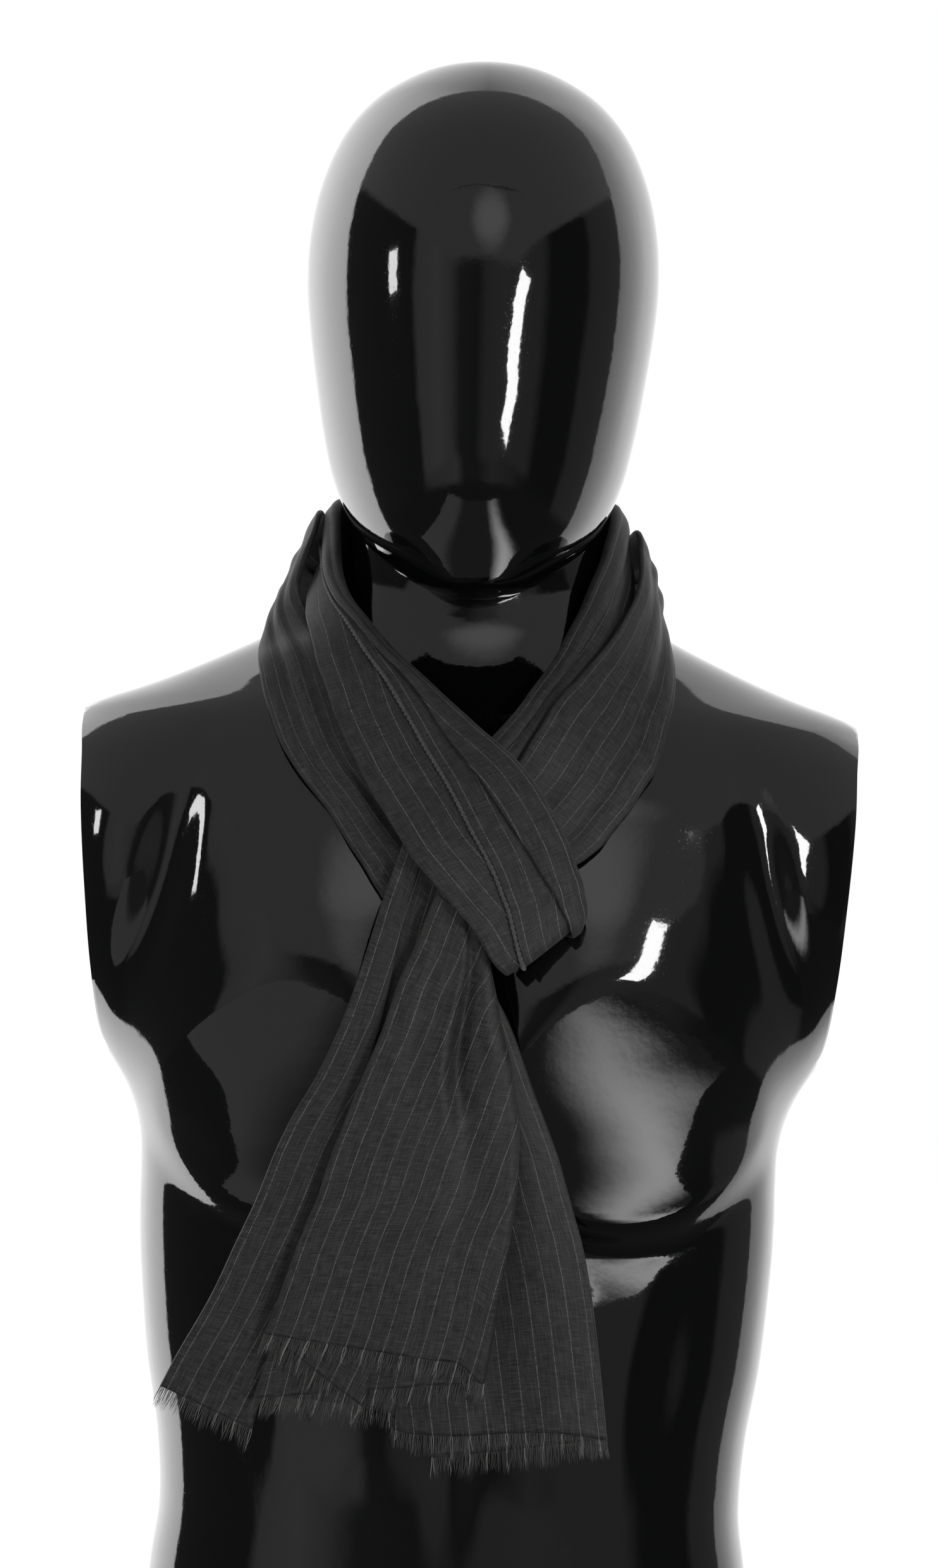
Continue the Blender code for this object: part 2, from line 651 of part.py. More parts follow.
def build_fringe(name, sections, strands, collection):
    """A narrow strip just below the cloth's edge, whose lower side runs out in strands."""
    edge = even_line(sections[-1], strands)
    above = even_line(sections[-2], strands)
    shape = bmesh.new()
    corners = []
    ways = []
    for i, point in enumerate(edge):
        down = (point - above[i]).normalized()
        along = edge[min(i + 1, strands)] - edge[max(i - 1, 0)]
        out = down.cross(along).normalized() * (WALL / 2)
        top = point + down * SEAM_GAP
        root = top + down * FRINGE_STRIP
        places = (top - out, top + out, root + out, root - out)
        corners.append([shape.verts.new(place * MM) for place in places])
        ways.append(down)
    shape.faces.new(corners[0])
    shape.faces.new(corners[-1])
    for i in range(strands):
        here, there = corners[i], corners[i + 1]
        for j, k in ((3, 0), (0, 1), (1, 2)):
            shape.faces.new((here[j], here[k], there[k], there[j]))
        root = (here[2], here[3], there[3], there[2])
        middle = sum((vert.co for vert in root), Vector()) / 4
        length = FRINGE_LENGTH * (0.84 + 0.1 * math.sin(i * 2.4) + 0.06 * math.sin(i * 0.7))
        sway = ways[i].cross(ways[i].cross(Vector((0, 1, 0)))) * 0.3 * math.sin(i * 2.9)
        sway += Vector((0.5 * math.sin(i * 1.7), 0, 0))
        tip = shape.verts.new(middle + (ways[i] * length + sway) * MM)
        for j in range(4):
            shape.faces.new((root[j], root[(j + 1) % 4], tip))
    bmesh.ops.recalc_face_normals(shape, faces=shape.faces[:])
    mesh = bpy.data.meshes.new(name)
    shape.to_mesh(mesh)
    shape.free()
    return add_object(name, mesh, CLOTH, collection)


def build_rolled_edge(sections, collection):
    """The whipped edge of the front band, a thin roll that lies on the panel's own points."""
    curve = bpy.data.curves.new("loop_front_hem", "CURVE")
    curve.dimensions = "3D"
    curve.bevel_depth = HEM_ROLL / 2 * MM
    curve.bevel_resolution = 1
    curve.use_fill_caps = True
    line = curve.splines.new("POLY")
    route = []
    for i in range(3, len(sections) - 3):
        edge, inside = sections[i][0], sections[i][1]
        outward = (edge - inside).normalized()
        along = sections[i + 1][0] - sections[i - 1][0]
        up = along.cross(-outward).normalized()
        route.append(edge + outward * (HEM_ROLL / 2 + SEAM_GAP) + up * HEM_LIFT)
    line.points.add(len(route) - 1)
    for point, place in zip(line.points, route):
        point.co = (*(place * MM), 1.0)
    roll = bpy.data.objects.new("loop_front_hem", curve)
    roll.data.materials.append(make_material(EDGE))
    collection.objects.link(roll)


def build():
    clear_scene()
    collection = bpy.data.collections.new(COLLECTION)
    shapes = bpy.data.collections.new("joining_shapes")
    bpy.context.scene.collection.children.link(collection)
    bpy.context.scene.collection.children.link(shapes)
    build_bust(collection, shapes)
    front = build_strands(collection)
    build_rolled_edge(front, collection)
    ends = build_tails(collection)
    build_fringe("fringe_front", ends["front"], FRONT_STRANDS, collection)
    build_fringe("fringe_back", ends["back"], BACK_STRANDS, collection)


build()
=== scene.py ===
# %% [markdown]
# # A pinstriped silk scarf on a gloss display bust
#
# The scarf is one long piece of light silk. It is folded once along its middle, laid round the
# neck as a pair of strands, and its two frayed ends are pulled through the loop that the middle
# makes. The bust that carries it is a smooth black shell with a head and no arms.
#
# The imported model is the fixed frame of this scene. It is loaded first.

# %% Load the frame
import math
import random
from collections import namedtuple

import bpy
from mathutils import Matrix, Vector, noise


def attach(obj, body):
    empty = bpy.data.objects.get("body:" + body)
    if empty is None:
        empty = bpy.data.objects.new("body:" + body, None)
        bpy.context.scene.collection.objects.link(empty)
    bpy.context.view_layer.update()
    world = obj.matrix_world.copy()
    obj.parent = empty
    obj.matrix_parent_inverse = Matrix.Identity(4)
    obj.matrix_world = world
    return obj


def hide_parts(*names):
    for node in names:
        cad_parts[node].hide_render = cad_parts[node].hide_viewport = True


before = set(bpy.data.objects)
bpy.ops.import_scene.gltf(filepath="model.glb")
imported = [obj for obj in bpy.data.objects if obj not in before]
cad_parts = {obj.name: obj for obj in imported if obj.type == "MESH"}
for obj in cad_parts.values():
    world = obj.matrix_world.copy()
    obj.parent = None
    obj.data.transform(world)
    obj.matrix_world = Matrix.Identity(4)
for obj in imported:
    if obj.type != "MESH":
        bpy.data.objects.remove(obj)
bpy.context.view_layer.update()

MM = 0.001
print("nodes:", sorted(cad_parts))

# %% [markdown]
# ## The camera
#
# A picture of a standing bust is taken from chest height with a long lens, so that the head and
# the waist keep their proportions. One pixel of the picture is 0.285 mm at the chest, and that
# fixes the lens angle once the distance is known. A camera is turned about its own line of sight
# with a rotation about its local Z, and here the picture leans by 1.6 degrees.

# %% Place the camera
PICTURE_HEIGHT = 2482
PIXEL = 0.285 * MM
CHEST_DISTANCE = 2.6
CAMERA_PLACE = Vector((0.0, -2.72, 0.385))
CAMERA_LEAN = math.radians(1.6)

camera_data = bpy.data.cameras.new("picture_camera")
camera_data.sensor_fit = "VERTICAL"
camera_data.angle = 2 * math.atan(PICTURE_HEIGHT * PIXEL / 2 / CHEST_DISTANCE)
camera = bpy.data.objects.new("picture_camera", camera_data)
bpy.context.scene.collection.objects.link(camera)
upright = Matrix.Rotation(math.radians(90), 4, "X")
camera.matrix_world = Matrix.Translation(CAMERA_PLACE) @ upright @ Matrix.Rotation(CAMERA_LEAN, 4, "Z")
bpy.context.scene.camera = camera
print("lens angle", round(math.degrees(camera_data.angle), 2), "degrees")

# %% [markdown]
# ## The studio
#
# Black lacquer has hardly any colour of its own: what shows on it is the room. The room is bright
# white behind the bust, which draws the thin pale rims, and dim in front of it, which keeps the
# middle black. The world can hold such a room without any walls: its shader reads the direction
# of a ray. Three colour ramps give each direction round the bust its brightness, one for the
# ground, one for the walls and one for the backdrop. The ceiling is an even grey with one
# brighter patch. Matt cloth only needs even light, so the painted room is for the reflections
# alone. A plain view transform keeps the white of the room white.

# %% Helpers for node trees
def feed(tree, socket, value):
    """Links an output to a socket, or sets the socket to a plain number or colour."""
    if isinstance(value, bpy.types.NodeSocket):
        tree.links.new(value, socket)
    elif isinstance(value, tuple) and socket.type == "RGBA":
        socket.default_value = (*value, 1.0)
    else:
        socket.default_value = value


def add_node(tree, kind, label, feeds=(), **settings):
    """A new node with its settings, what feeds its sockets, and a name that says what it is for."""
    made = tree.nodes.new("ShaderNode" + kind)
    made.name = made.label = label
    for key, value in settings.items():
        setattr(made, key, value)
    for key, value in dict(feeds).items():
        feed(tree, made.inputs[key], value)
    return made


def combine(tree, operation, label, *values):
    """A math node fed by outputs or by plain numbers."""
    return add_node(tree, "Math", label, enumerate(values), operation=operation).outputs[0]


def map_range(tree, value, low, high, to_low, to_high, label, kind="LINEAR"):
    feeds = {"Value": value, "From Min": low, "From Max": high, "To Min": to_low, "To Max": to_high}
    return add_node(tree, "MapRange", label, feeds, interpolation_type=kind).outputs[0]


def fade(tree, value, start, end, label, first=0.0, last=1.0):
    """A smooth change from first to last while a value goes from start to end."""
    return map_range(tree, value, start, end, first, last, label, "SMOOTHSTEP")


def mixed(tree, factor, first, second, label):
    """A colour between two colours."""
    feeds = {"Factor": factor, "A": first, "B": second}
    return add_node(tree, "Mix", label, feeds, data_type="RGBA").outputs["Result"]


# %% The brightness of the room
def rows_of(kind, *rows):
    """A table: every row becomes a named tuple of one kind."""
    return [kind(*row) for row in rows]


WHITE = (1.0, 1.0, 1.0)
RoomStop = namedtuple("RoomStop", "degrees grey")
WALLS = rows_of(
    RoomStop, (-180, 0.1), (-101, 0.1), (-56, 0.09), (-52, 0.5), (-36, 0.6), (-26, 0.45), (-18, 0.14),
    (-4, 0.1), (4, 0.3), (16, 0.34), (30, 0.3), (46, 0.3), (54, 0.06), (82, 0.06), (87, 0.24), (180, 0.24),
)
GROUND = rows_of(
    RoomStop, (-180, 0.1), (-60, 0.07), (-48, 0.4), (-22, 0.5), (-14, 0.12), (0, 0.12), (14, 0.3),
    (34, 0.22), (50, 0.07), (84, 0.07), (90, 0.1), (180, 0.1),
)
BACKDROP = rows_of(
    RoomStop, (-180, 1.1), (-160, 1.7), (-140, 2.8), (-115, 4.0), (0, 2.4), (110, 1.4), (140, 2.0),
    (160, 1.5), (180, 1.1),
)
CEILING = 0.55
PATCH = 1.5
PATCH_WAY = (0.08, -0.86, 0.5)
NEAR_FLOOR = 0.08
SOFT_LIGHT = 0.3
print("room stops:", len(GROUND), len(WALLS), len(BACKDROP))

# %% The borders of the room, as shares of a ray of length 1
FRONT_CORNER = 0.22
SIDE_CORNER = 0.45
CORNER_BLUR = 0.05
NEAR_EDGE = (-0.42, -0.36)
BACKDROP_EDGE = (0.35, 0.385)
PATCH_EDGE = 0.955


def ramp_colour(tree, share, stops, label):
    """The grey that a colour ramp gives to a direction round the bust."""
    made = add_node(tree, "ValToRGB", label, {0: share})
    marks = made.color_ramp.elements
    marks.remove(marks[-1])
    for number, stop in enumerate(stops):
        place = (stop.degrees + 180) / 360
        mark = marks.new(place) if number else marks[0]
        mark.position = place
        mark.color = (stop.grey, stop.grey, stop.grey, 1.0)
    return made.outputs["Color"]


def ceiling_colour(tree, ray_way):
    feeds = {0: ray_way, 1: Vector(PATCH_WAY).normalized()}
    towards = add_node(tree, "VectorMath", "towards the patch", feeds, operation="DOT_PRODUCT")
    patch = fade(tree, towards.outputs["Value"], PATCH_EDGE, 1.0, "on the patch")
    return mixed(tree, patch, (CEILING,) * 3, (PATCH,) * 3, "ceiling and patch")


def room_colour(tree):
    """The colour of the room in the direction of a ray."""
    ray_way = add_node(tree, "TexCoord", "ray").outputs["Generated"]
    x, y, z = add_node(tree, "SeparateXYZ", "direction", {0: ray_way}).outputs
    forward = combine(tree, "MULTIPLY", "towards the front", y, -1.0)
    around = combine(tree, "ARCTAN2", "angle round the bust", x, forward)
    share = map_range(tree, around, -math.pi, math.pi, 0.0, 1.0, "angle as a share")
    sideways = combine(tree, "ABSOLUTE", "to either side", x)
    corner_front = combine(tree, "MULTIPLY", "corner in front", forward, FRONT_CORNER)
    corner_side = combine(tree, "MULTIPLY", "corner at the side", sideways, SIDE_CORNER)
    corner = combine(tree, "MAXIMUM", "height of the corner", corner_front, corner_side)
    over = combine(tree, "SUBTRACT", "above the corner", z, corner)
    under = combine(tree, "ADD", "above the skirting", z, corner)
    high = fade(tree, over, 0.0, CORNER_BLUR, "on the ceiling")
    above = fade(tree, under, -CORNER_BLUR, CORNER_BLUR, "above the floor")
    behind = fade(tree, y, *BACKDROP_EDGE, "on the backdrop")
    near = fade(tree, z, *NEAR_EDGE, "on the near floor", 1.0, 0.0)
    ground = mixed(tree, near, ramp_colour(tree, share, GROUND, "ground"), (NEAR_FLOOR,) * 3, "floor")
    room = mixed(tree, above, ground, ramp_colour(tree, share, WALLS, "walls"), "ground or walls")
    room = mixed(tree, high, room, ceiling_colour(tree, ray_way), "walls or ceiling")
    return mixed(tree, behind, room, ramp_colour(tree, share, BACKDROP, "backdrop"), "room or backdrop")


# %% Paint the room into the world
def background(tree, colour, strength, label):
    return add_node(tree, "Background", label, {"Color": colour, "Strength": strength}).outputs[0]


def shader_by(tree, ray, otherwise, shader, label):
    """One shader for a kind of ray, and another for the rest."""
    return add_node(tree, "MixShader", label, {0: ray, 1: otherwise, 2: shader}).outputs[0]


def paint_room():
    world = bpy.data.worlds.new("studio_room")
    world.use_nodes = True
    bpy.context.scene.world = world
    tree = world.node_tree
    tree.nodes.clear()
    reflected = background(tree, room_colour(tree), 1.0, "what the lacquer reflects")
    even = background(tree, WHITE, SOFT_LIGHT, "even soft light")
    white = background(tree, WHITE, 1.0, "white behind the bust")
    rays = add_node(tree, "LightPath", "kind of ray").outputs
    lit = shader_by(tree, rays["Is Glossy Ray"], even, reflected, "lacquer or cloth")
    seen = shader_by(tree, rays["Is Camera Ray"], lit, white, "picture or light")
    add_node(tree, "OutputWorld", "world", {"Surface": seen})
    return world


bpy.context.scene.view_settings.view_transform = "Standard"
print("world nodes:", len(paint_room().node_tree.nodes))

# %% [markdown]
# ## Lamps and floor
#
# Two slim lamps stand in front, one at each side, and show as white streaks on the lacquer. Two
# key lamps model the folds of the cloth, and two wide ones stand behind the bust's shoulders and
# graze the cloth's sides. These four don't show in gloss, because lacquer would mirror them as
# squares. No lamp shows to the camera, so that the bust can be seen from all round. The floor is
# a plain pale plane that glows a little, as a lit studio sweep does.

# %% Add the lamps
Lamp = namedtuple("Lamp", "name place width height lean power in_gloss")
LAMPS = rows_of(
    Lamp,
    ("lamp_left", (-2.05, -0.8, 0.9), 0.26, 0.4, 10, 5, True),
    ("lamp_right", (0.98, -1.9, 0.62), 0.28, 0.8, -30, 17, True),
    ("key_left", (-1.6, -1.7, 1.5), 0.8, 0.8, 0, 16, False),
    ("key_right", (1.2, -2.1, 1.2), 0.8, 0.8, 0, 5, False),
    ("side_left", (-1.7, 0.75, 0.7), 0.9, 1.3, 0, 6.5, False),
    ("side_right", (1.7, 0.75, 0.7), 0.9, 1.3, 0, 6, False),
)
AIM = Vector((0.0, -0.05, 0.38))
for lamp in LAMPS:
    light = bpy.data.lights.new(lamp.name, "AREA")
    light.shape = "RECTANGLE"
    light.size = lamp.width
    light.size_y = lamp.height
    light.energy = lamp.power
    holder = bpy.data.objects.new(lamp.name, light)
    facing = (AIM - Vector(lamp.place)).to_track_quat("-Z", "Y").to_matrix().to_4x4()
    lean = Matrix.Rotation(math.radians(lamp.lean), 4, "Z")
    holder.matrix_world = Matrix.Translation(lamp.place) @ facing @ lean
    holder.visible_camera = False
    holder.visible_glossy = lamp.in_gloss
    bpy.context.scene.collection.objects.link(holder)
print("lamps:", [lamp.name for lamp in LAMPS])


# %% Lay the floor
def new_object(name, points, faces):
    """An object in the scene, with a mesh of these points and faces."""
    mesh = bpy.data.meshes.new(name)
    mesh.from_pydata(points, [], faces)
    made = bpy.data.objects.new(name, mesh)
    bpy.context.scene.collection.objects.link(made)
    return made


def new_material(name, finish):
    """A material whose shader has the finish, a value for each socket that it names."""
    material = bpy.data.materials.new(name)
    material.use_nodes = True
    tree = material.node_tree
    shader = tree.nodes["Principled BSDF"]
    for socket, value in finish.items():
        feed(tree, shader.inputs[socket], value)
    return material, tree, shader


def stage_plane(name, corners, finish):
    """A plane of the studio, which is no part of the object."""
    plane = new_object(name, corners, [(0, 1, 2, 3)])
    material, tree, shader = new_material(name + "_paint", finish)
    plane.data.materials.append(material)
    return plane, tree, shader


def level_corners(left, near, right, far, height):
    return [(left, near, height), (right, near, height), (right, far, height), (left, far, height)]


FLOOR_HALF = 3.0
FLOOR_CORNERS = level_corners(-FLOOR_HALF, -FLOOR_HALF, FLOOR_HALF, FLOOR_HALF, 0)
PALE_FLOOR = {
    "Base Color": (0.9, 0.9, 0.9), "Roughness": 0.9, "Emission Color": WHITE, "Emission Strength": 0.7,
}
floor = stage_plane("floor", FLOOR_CORNERS, PALE_FLOOR)[0]
floor.visible_glossy = False
print("floor:", round(floor.dimensions.x, 2), "m square")

# %% [markdown]
# ### A table and a black card
#
# Two things stand so close to the lacquer that a far world can't hold them: a low table with a
# bright strip, which glows up the right of the chest, and a black card before the neck, which
# keeps the lacquer under the chin black. Each is a plane that only reflections see.

# %% Set up the table and the card, for the lacquer alone
TABLE_HEIGHT = 0.14
TABLE = (-0.42, -0.76, 0.32, -0.15)
TABLE_GREY = 0.17
TABLE_LEFT_GREY = 0.6
LEFT_GREY_EDGE = (-0.26, -0.16)
GLOW_X = 0.206
GLOW_HALF = 0.1
GLOW_FAR = 1.9
GLOW_NEAR = 5.8
BLACK_CARD = [(-0.12, -0.249, 0.799), (0.12, -0.249, 0.799), (0.42, -1.52, 2.07), (-0.42, -1.52, 2.07)]
ONLY_GLOW = {"Base Color": (0.0, 0.0, 0.0), "Specular IOR Level": 0.0, "Emission Color": WHITE}


def gloss_plane(name, corners):
    """A plane that is seen nowhere but in a reflection, and reflects nothing itself."""
    plane, tree, shader = stage_plane(name, corners, ONLY_GLOW)
    plane.visible_camera = plane.visible_diffuse = plane.visible_shadow = False
    return tree, shader


def light_table():
    """A grey table that is brighter at its left end, with a soft bright strip that runs along Y."""
    tree, shader = gloss_plane("table_in_gloss", level_corners(*TABLE, TABLE_HEIGHT))
    place = add_node(tree, "TexCoord", "place").outputs["Object"]
    x, y, _ = add_node(tree, "SeparateXYZ", "place on the table", {0: place}).outputs
    aside = combine(tree, "SUBTRACT", "beside the strip", x, GLOW_X)
    aside = combine(tree, "ABSOLUTE", "to either side", aside)
    across = fade(tree, aside, 0.0, GLOW_HALF, "glow across", 1.0, 0.0)
    along = map_range(tree, y, TABLE[1], TABLE[3], GLOW_FAR, GLOW_NEAR, "glow along")
    grey = fade(tree, x, *LEFT_GREY_EDGE, "grey across", TABLE_LEFT_GREY, TABLE_GREY)
    glow = combine(tree, "MULTIPLY_ADD", "glow and grey", across, along, grey)
    feed(tree, shader.inputs["Emission Strength"], glow)


light_table()
gloss_plane("black_card", BLACK_CARD)
print("table at", TABLE_HEIGHT, "m, card from", BLACK_CARD[0][2], "m up")

# %% [markdown]
# ## The silk
#
# The cloth is a plain weave of uneven, slubby yarn in charcoal, with a pale pinstripe every
# 8.4 mm along its length. Colour and relief belong to the cloth and not to the room, so the
# material reads the cloth's own two directions from a UV map that is kept in metres: U runs along
# the scarf and V across it. Noise that is stretched along one direction looks like single yarns.
# A thin stripe comes from the remainder of V after division by the spacing.

# %% Helpers for materials
def plain_noise(tree, place, scale, label):
    return add_node(tree, "TexNoise", label, {"Vector": place, "Scale": scale}).outputs["Fac"]


def stretched_noise(tree, place, grain):
    """Noise in the size of a grain: its length along U and its width along V."""
    size = (1 / (grain.length * MM), 1 / (grain.width * MM), 1.0)
    scaled = add_node(tree, "VectorMath", grain.label + " size", {0: place, 1: size}, operation="MULTIPLY")
    feeds = {"Vector": scaled.outputs[0], "Scale": 1.0, "Detail": grain.detail}
    return add_node(tree, "TexNoise", grain.label, feeds).outputs["Fac"]


def bump(tree, height, strength, distance, label, over=None):
    """Relief of a depth in millimetres, over another relief if there is one."""
    feeds = {"Height": height, "Strength": strength, "Distance": distance * MM}
    if over is not None:
        feeds["Normal"] = over
    return add_node(tree, "Bump", label, feeds).outputs[0]


def toned(tree, colour, tone, label):
    """A colour times a number."""
    return add_node(tree, "VectorMath", label, {0: colour, "Scale": tone}, operation="SCALE").outputs[0]


# %% Colours and grains of the silk, in millimetres
STRIPE_PITCH = 8.4 * MM
STRIPE_HALF = 0.17 * MM
CHARCOAL = (0.0104, 0.0104, 0.0108)
STRIPE_PALE = (0.066, 0.066, 0.066)
STRIPE_WARM = (0.064, 0.059, 0.046)
SILK = {
    "Base Color": CHARCOAL, "Roughness": 0.62, "Specular IOR Level": 0.3,
    "Sheen Weight": 0.03, "Sheen Roughness": 0.4,
}
Grain = namedtuple("Grain", "label length width detail")
GRAINS = rows_of(
    Grain,
    ("slubs along", 9.0, 0.42, 2.0),
    ("slubs across", 0.42, 7.2, 2.0),
    ("thick yarns along", 14.0, 0.85, 2.0),
    ("thick yarns across", 0.8, 9.0, 2.0),
    ("uneven dye", 30.0, 26.0, 3.0),
    ("soft crinkles", 16.0, 7.0, 2.0),
    ("dips of the stripe yarn", 0.9, 30.0, 1.0),
)
print("stripe pitch", STRIPE_PITCH, "m")


# %% Weave the pinstriped silk
def stripe_masks(tree, place, dips):
    """1 on a pinstripe that is broken where its yarn dips, and 1 on every other stripe."""
    across = add_node(tree, "SeparateXYZ", "along and across", {0: place}).outputs["Y"]
    count = combine(tree, "DIVIDE", "stripes counted", across, STRIPE_PITCH)
    rest = combine(tree, "FRACT", "way between stripes", count)
    off = combine(tree, "SUBTRACT", "from the stripe", rest, 0.5)
    off = combine(tree, "ABSOLUTE", "distance", off)
    half = STRIPE_HALF / STRIPE_PITCH
    line = fade(tree, off, half * 0.5, half * 1.5, "stripe", 1.0, 0.0)
    shown = fade(tree, dips, 0.36, 0.56, "stripe showing", 0.25, 1.0)
    pair = combine(tree, "FRACT", "which of a pair", combine(tree, "DIVIDE", "pairs", count, 2.0))
    every = combine(tree, "GREATER_THAN", "every other stripe", pair, 0.5)
    return combine(tree, "MULTIPLY", "broken stripe", line, shown), every


def weave_silk():
    material, tree, shader = new_material("pinstriped_silk", SILK)
    place = add_node(tree, "UVMap", "place on the cloth", uv_map="cloth").outputs[0]
    grains = [stretched_noise(tree, place, grain) for grain in GRAINS]
    warp, weft, thick_warp, thick_weft, dye, crinkle, dips = grains
    yarns = combine(tree, "ADD", "both yarns", warp, weft)
    thick = combine(tree, "ADD", "thick yarns", thick_warp, thick_weft)
    fine_tone = map_range(tree, yarns, 0.7, 1.3, 0.1, 1.9, "fine heather")
    thick_tone = map_range(tree, thick, 0.7, 1.3, 0.55, 1.45, "coarse heather")
    clouds = map_range(tree, dye, 0.3, 0.7, 0.88, 1.12, "dye clouds")
    tone = combine(tree, "MULTIPLY", "heather", fine_tone, thick_tone)
    tone = combine(tree, "MULTIPLY", "tone", tone, clouds)
    mask, every = stripe_masks(tree, place, dips)
    stripes = mixed(tree, every, STRIPE_PALE, STRIPE_WARM, "warm or pale stripe")
    ground = toned(tree, CHARCOAL, tone, "charcoal ground")
    feed(tree, shader.inputs["Base Color"], mixed(tree, mask, ground, stripes, "ground and stripes"))
    yarn_relief = bump(tree, yarns, 0.5, 0.08, "yarn relief")
    relief = bump(tree, crinkle, 0.6, 0.7, "crinkle relief", yarn_relief)
    feed(tree, shader.inputs["Normal"], relief)
    return material


silk = weave_silk()
print("silk nodes:", len(silk.node_tree.nodes))

# %% [markdown]
# ## The lacquer
#
# The bust is glass fibre under thick black lacquer. Its base colour is nearly black, its roughness
# is very low, and a faint, wide noise in the bump gives the reflections the slightly ragged edges
# that sprayed lacquer has. A few dull dust specks come from a finer noise in the roughness.

# %% Spray the lacquer
LACQUER = {"Base Color": (0.0011, 0.0012, 0.0012), "Roughness": 0.05}
PEEL_SCALE = 190.0
WAVE_SCALE = 14.0
DUST_SCALE = 900.0


def spray_lacquer():
    material, tree, shader = new_material("black_lacquer", LACQUER)
    place = add_node(tree, "TexCoord", "place on the bust").outputs["Object"]
    peel = bump(tree, plain_noise(tree, place, PEEL_SCALE, "orange peel"), 0.12, 0.3, "peel relief")
    waves = plain_noise(tree, place, WAVE_SCALE, "slow waves")
    feed(tree, shader.inputs["Normal"], bump(tree, waves, 0.25, 2.0, "wave relief", peel))
    dust = plain_noise(tree, place, DUST_SCALE, "dust")
    feed(tree, shader.inputs["Roughness"], map_range(tree, dust, 0.62, 0.75, 0.05, 0.16, "dust dulls"))
    return material


lacquer = spray_lacquer()
print("lacquer nodes:", len(lacquer.node_tree.nodes))

# %% [markdown]
# ## The bust
#
# The bust is described by rings, a row for each height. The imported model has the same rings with
# few corners, which is right for weighing and colliding but would show as facets in lacquer. Here
# a smooth curve is drawn through all the rows, and many more rings are read from it. The head is
# a second body of rings, and a Boolean union joins it to the neck.

# %% Smooth curves through rows of numbers
def curve_through(before, start, end, after, share):
    """A point of the Catmull-Rom curve from start to end, of numbers or rows of numbers."""
    if isinstance(start, (int, float)):
        slope_in = (end - before) / 2
        slope_out = (after - start) / 2
        rise = end - start
        cube = slope_in + slope_out - 2 * rise
        square = 3 * rise - 2 * slope_in - slope_out
        return start + share * (slope_in + share * (square + share * cube))
    quads = zip(before, start, end, after)
    return tuple(curve_through(a, b, c, d, share) for a, b, c, d in quads)


def row_at(rows, place):
    """The row at a place that counts rows, read from a smooth curve through all of them."""
    place = min(max(place, 0.0), len(rows) - 1.0)
    index = min(int(place), len(rows) - 2)
    before = rows[max(index - 1, 0)]
    after = rows[min(index + 2, len(rows) - 1)]
    values = curve_through(before, rows[index], rows[index + 1], after, place - index)
    return type(rows[0])(*values)


# %% The rings of the bust, in millimetres
NECK_AXIS_Y = 8.0
Ring = namedtuple("Ring", "z half_width cut front back squareness")
BODY_RINGS = rows_of(
    Ring,
    (0, 142, 142, 86, 98, 2.3), (20, 140, 140, 85, 94, 2.3), (45, 137, 137, 84, 90, 2.3),
    (78, 139, 139, 83, 88, 2.3), (115, 145, 145, 84, 88, 2.3),
    (158, 149, 149, 84, 92, 2.3), (182, 150, 150, 84, 96, 2.35),
    (200, 150, 150, 86, 99, 2.35), (219, 151, 151, 90, 103, 2.4),
    (238, 157, 156, 94, 106, 2.4), (262, 172, 168, 97, 109, 2.4),
    (296, 192, 173, 100, 111, 2.4), (333, 204, 176, 101, 111, 2.4),
    (371, 207, 179, 96, 108, 2.4), (395, 203, 180, 87, 103, 2.35),
    (410, 192, 181, 79, 98, 2.3), (419, 178, 178, 73.5, 93, 2.25),
    (429, 150, 150, 68, 87, 2.15), (440, 124, 124, 62.5, 81, 2.1),
    (454, 95, 95, 57.5, 75, 2.05), (466, 77, 77, 56, 70, 2.0), (480, 66, 66, 55, 66, 2.0),
    (500, 61, 61, 54, 63, 2.0), (540, 60, 60, 54, 61, 2.0),
)

# Muscles and grooves, alike on both sides of the bust. x and z are a row's middle, half_x and
# half_z its reach, and turn leans its top towards the breastbone, in degrees. soft_low and
# soft_high are the shares of the reach over which it fades, below its middle and above it.
Relief = namedtuple("Relief", "side x z half_x half_z turn soft_low soft_high height")
BODY_RELIEF = rows_of(
    Relief,
    ("front", 76, 270, 88, 100, 0, 0.16, 0.85, 13),     # chest muscle
    ("front", 0, 265, 24, 110, 0, 1.0, 1.0, -4),        # breastbone
    ("front", 180, 347, 46, 60, 0, 1.0, 1.0, 9),        # front of the shoulder
    ("front", 140, 338, 17, 84, 14, 1.0, 1.0, -6),      # crease beside the arm
    ("front", 143, 332, 36, 90, 14, 1.0, 1.0, -4),      # and the hollow round it
    ("front", 0, 100, 16, 90, 0, 1.0, 1.0, -3),         # middle of the belly
    ("front", 38, 140, 34, 30, 0, 1.0, 1.0, 3),         # belly
    ("front", 37, 80, 32, 36, 0, 1.0, 1.0, 2.5),
    ("front", 98, 115, 20, 72, -8, 1.0, 1.0, -3),       # flank
    ("back", 0, 250, 26, 200, 0, 1.0, 1.0, -6),         # spine
    ("back", 84, 320, 60, 84, 12, 0.8, 0.9, 5),         # shoulder blade
)

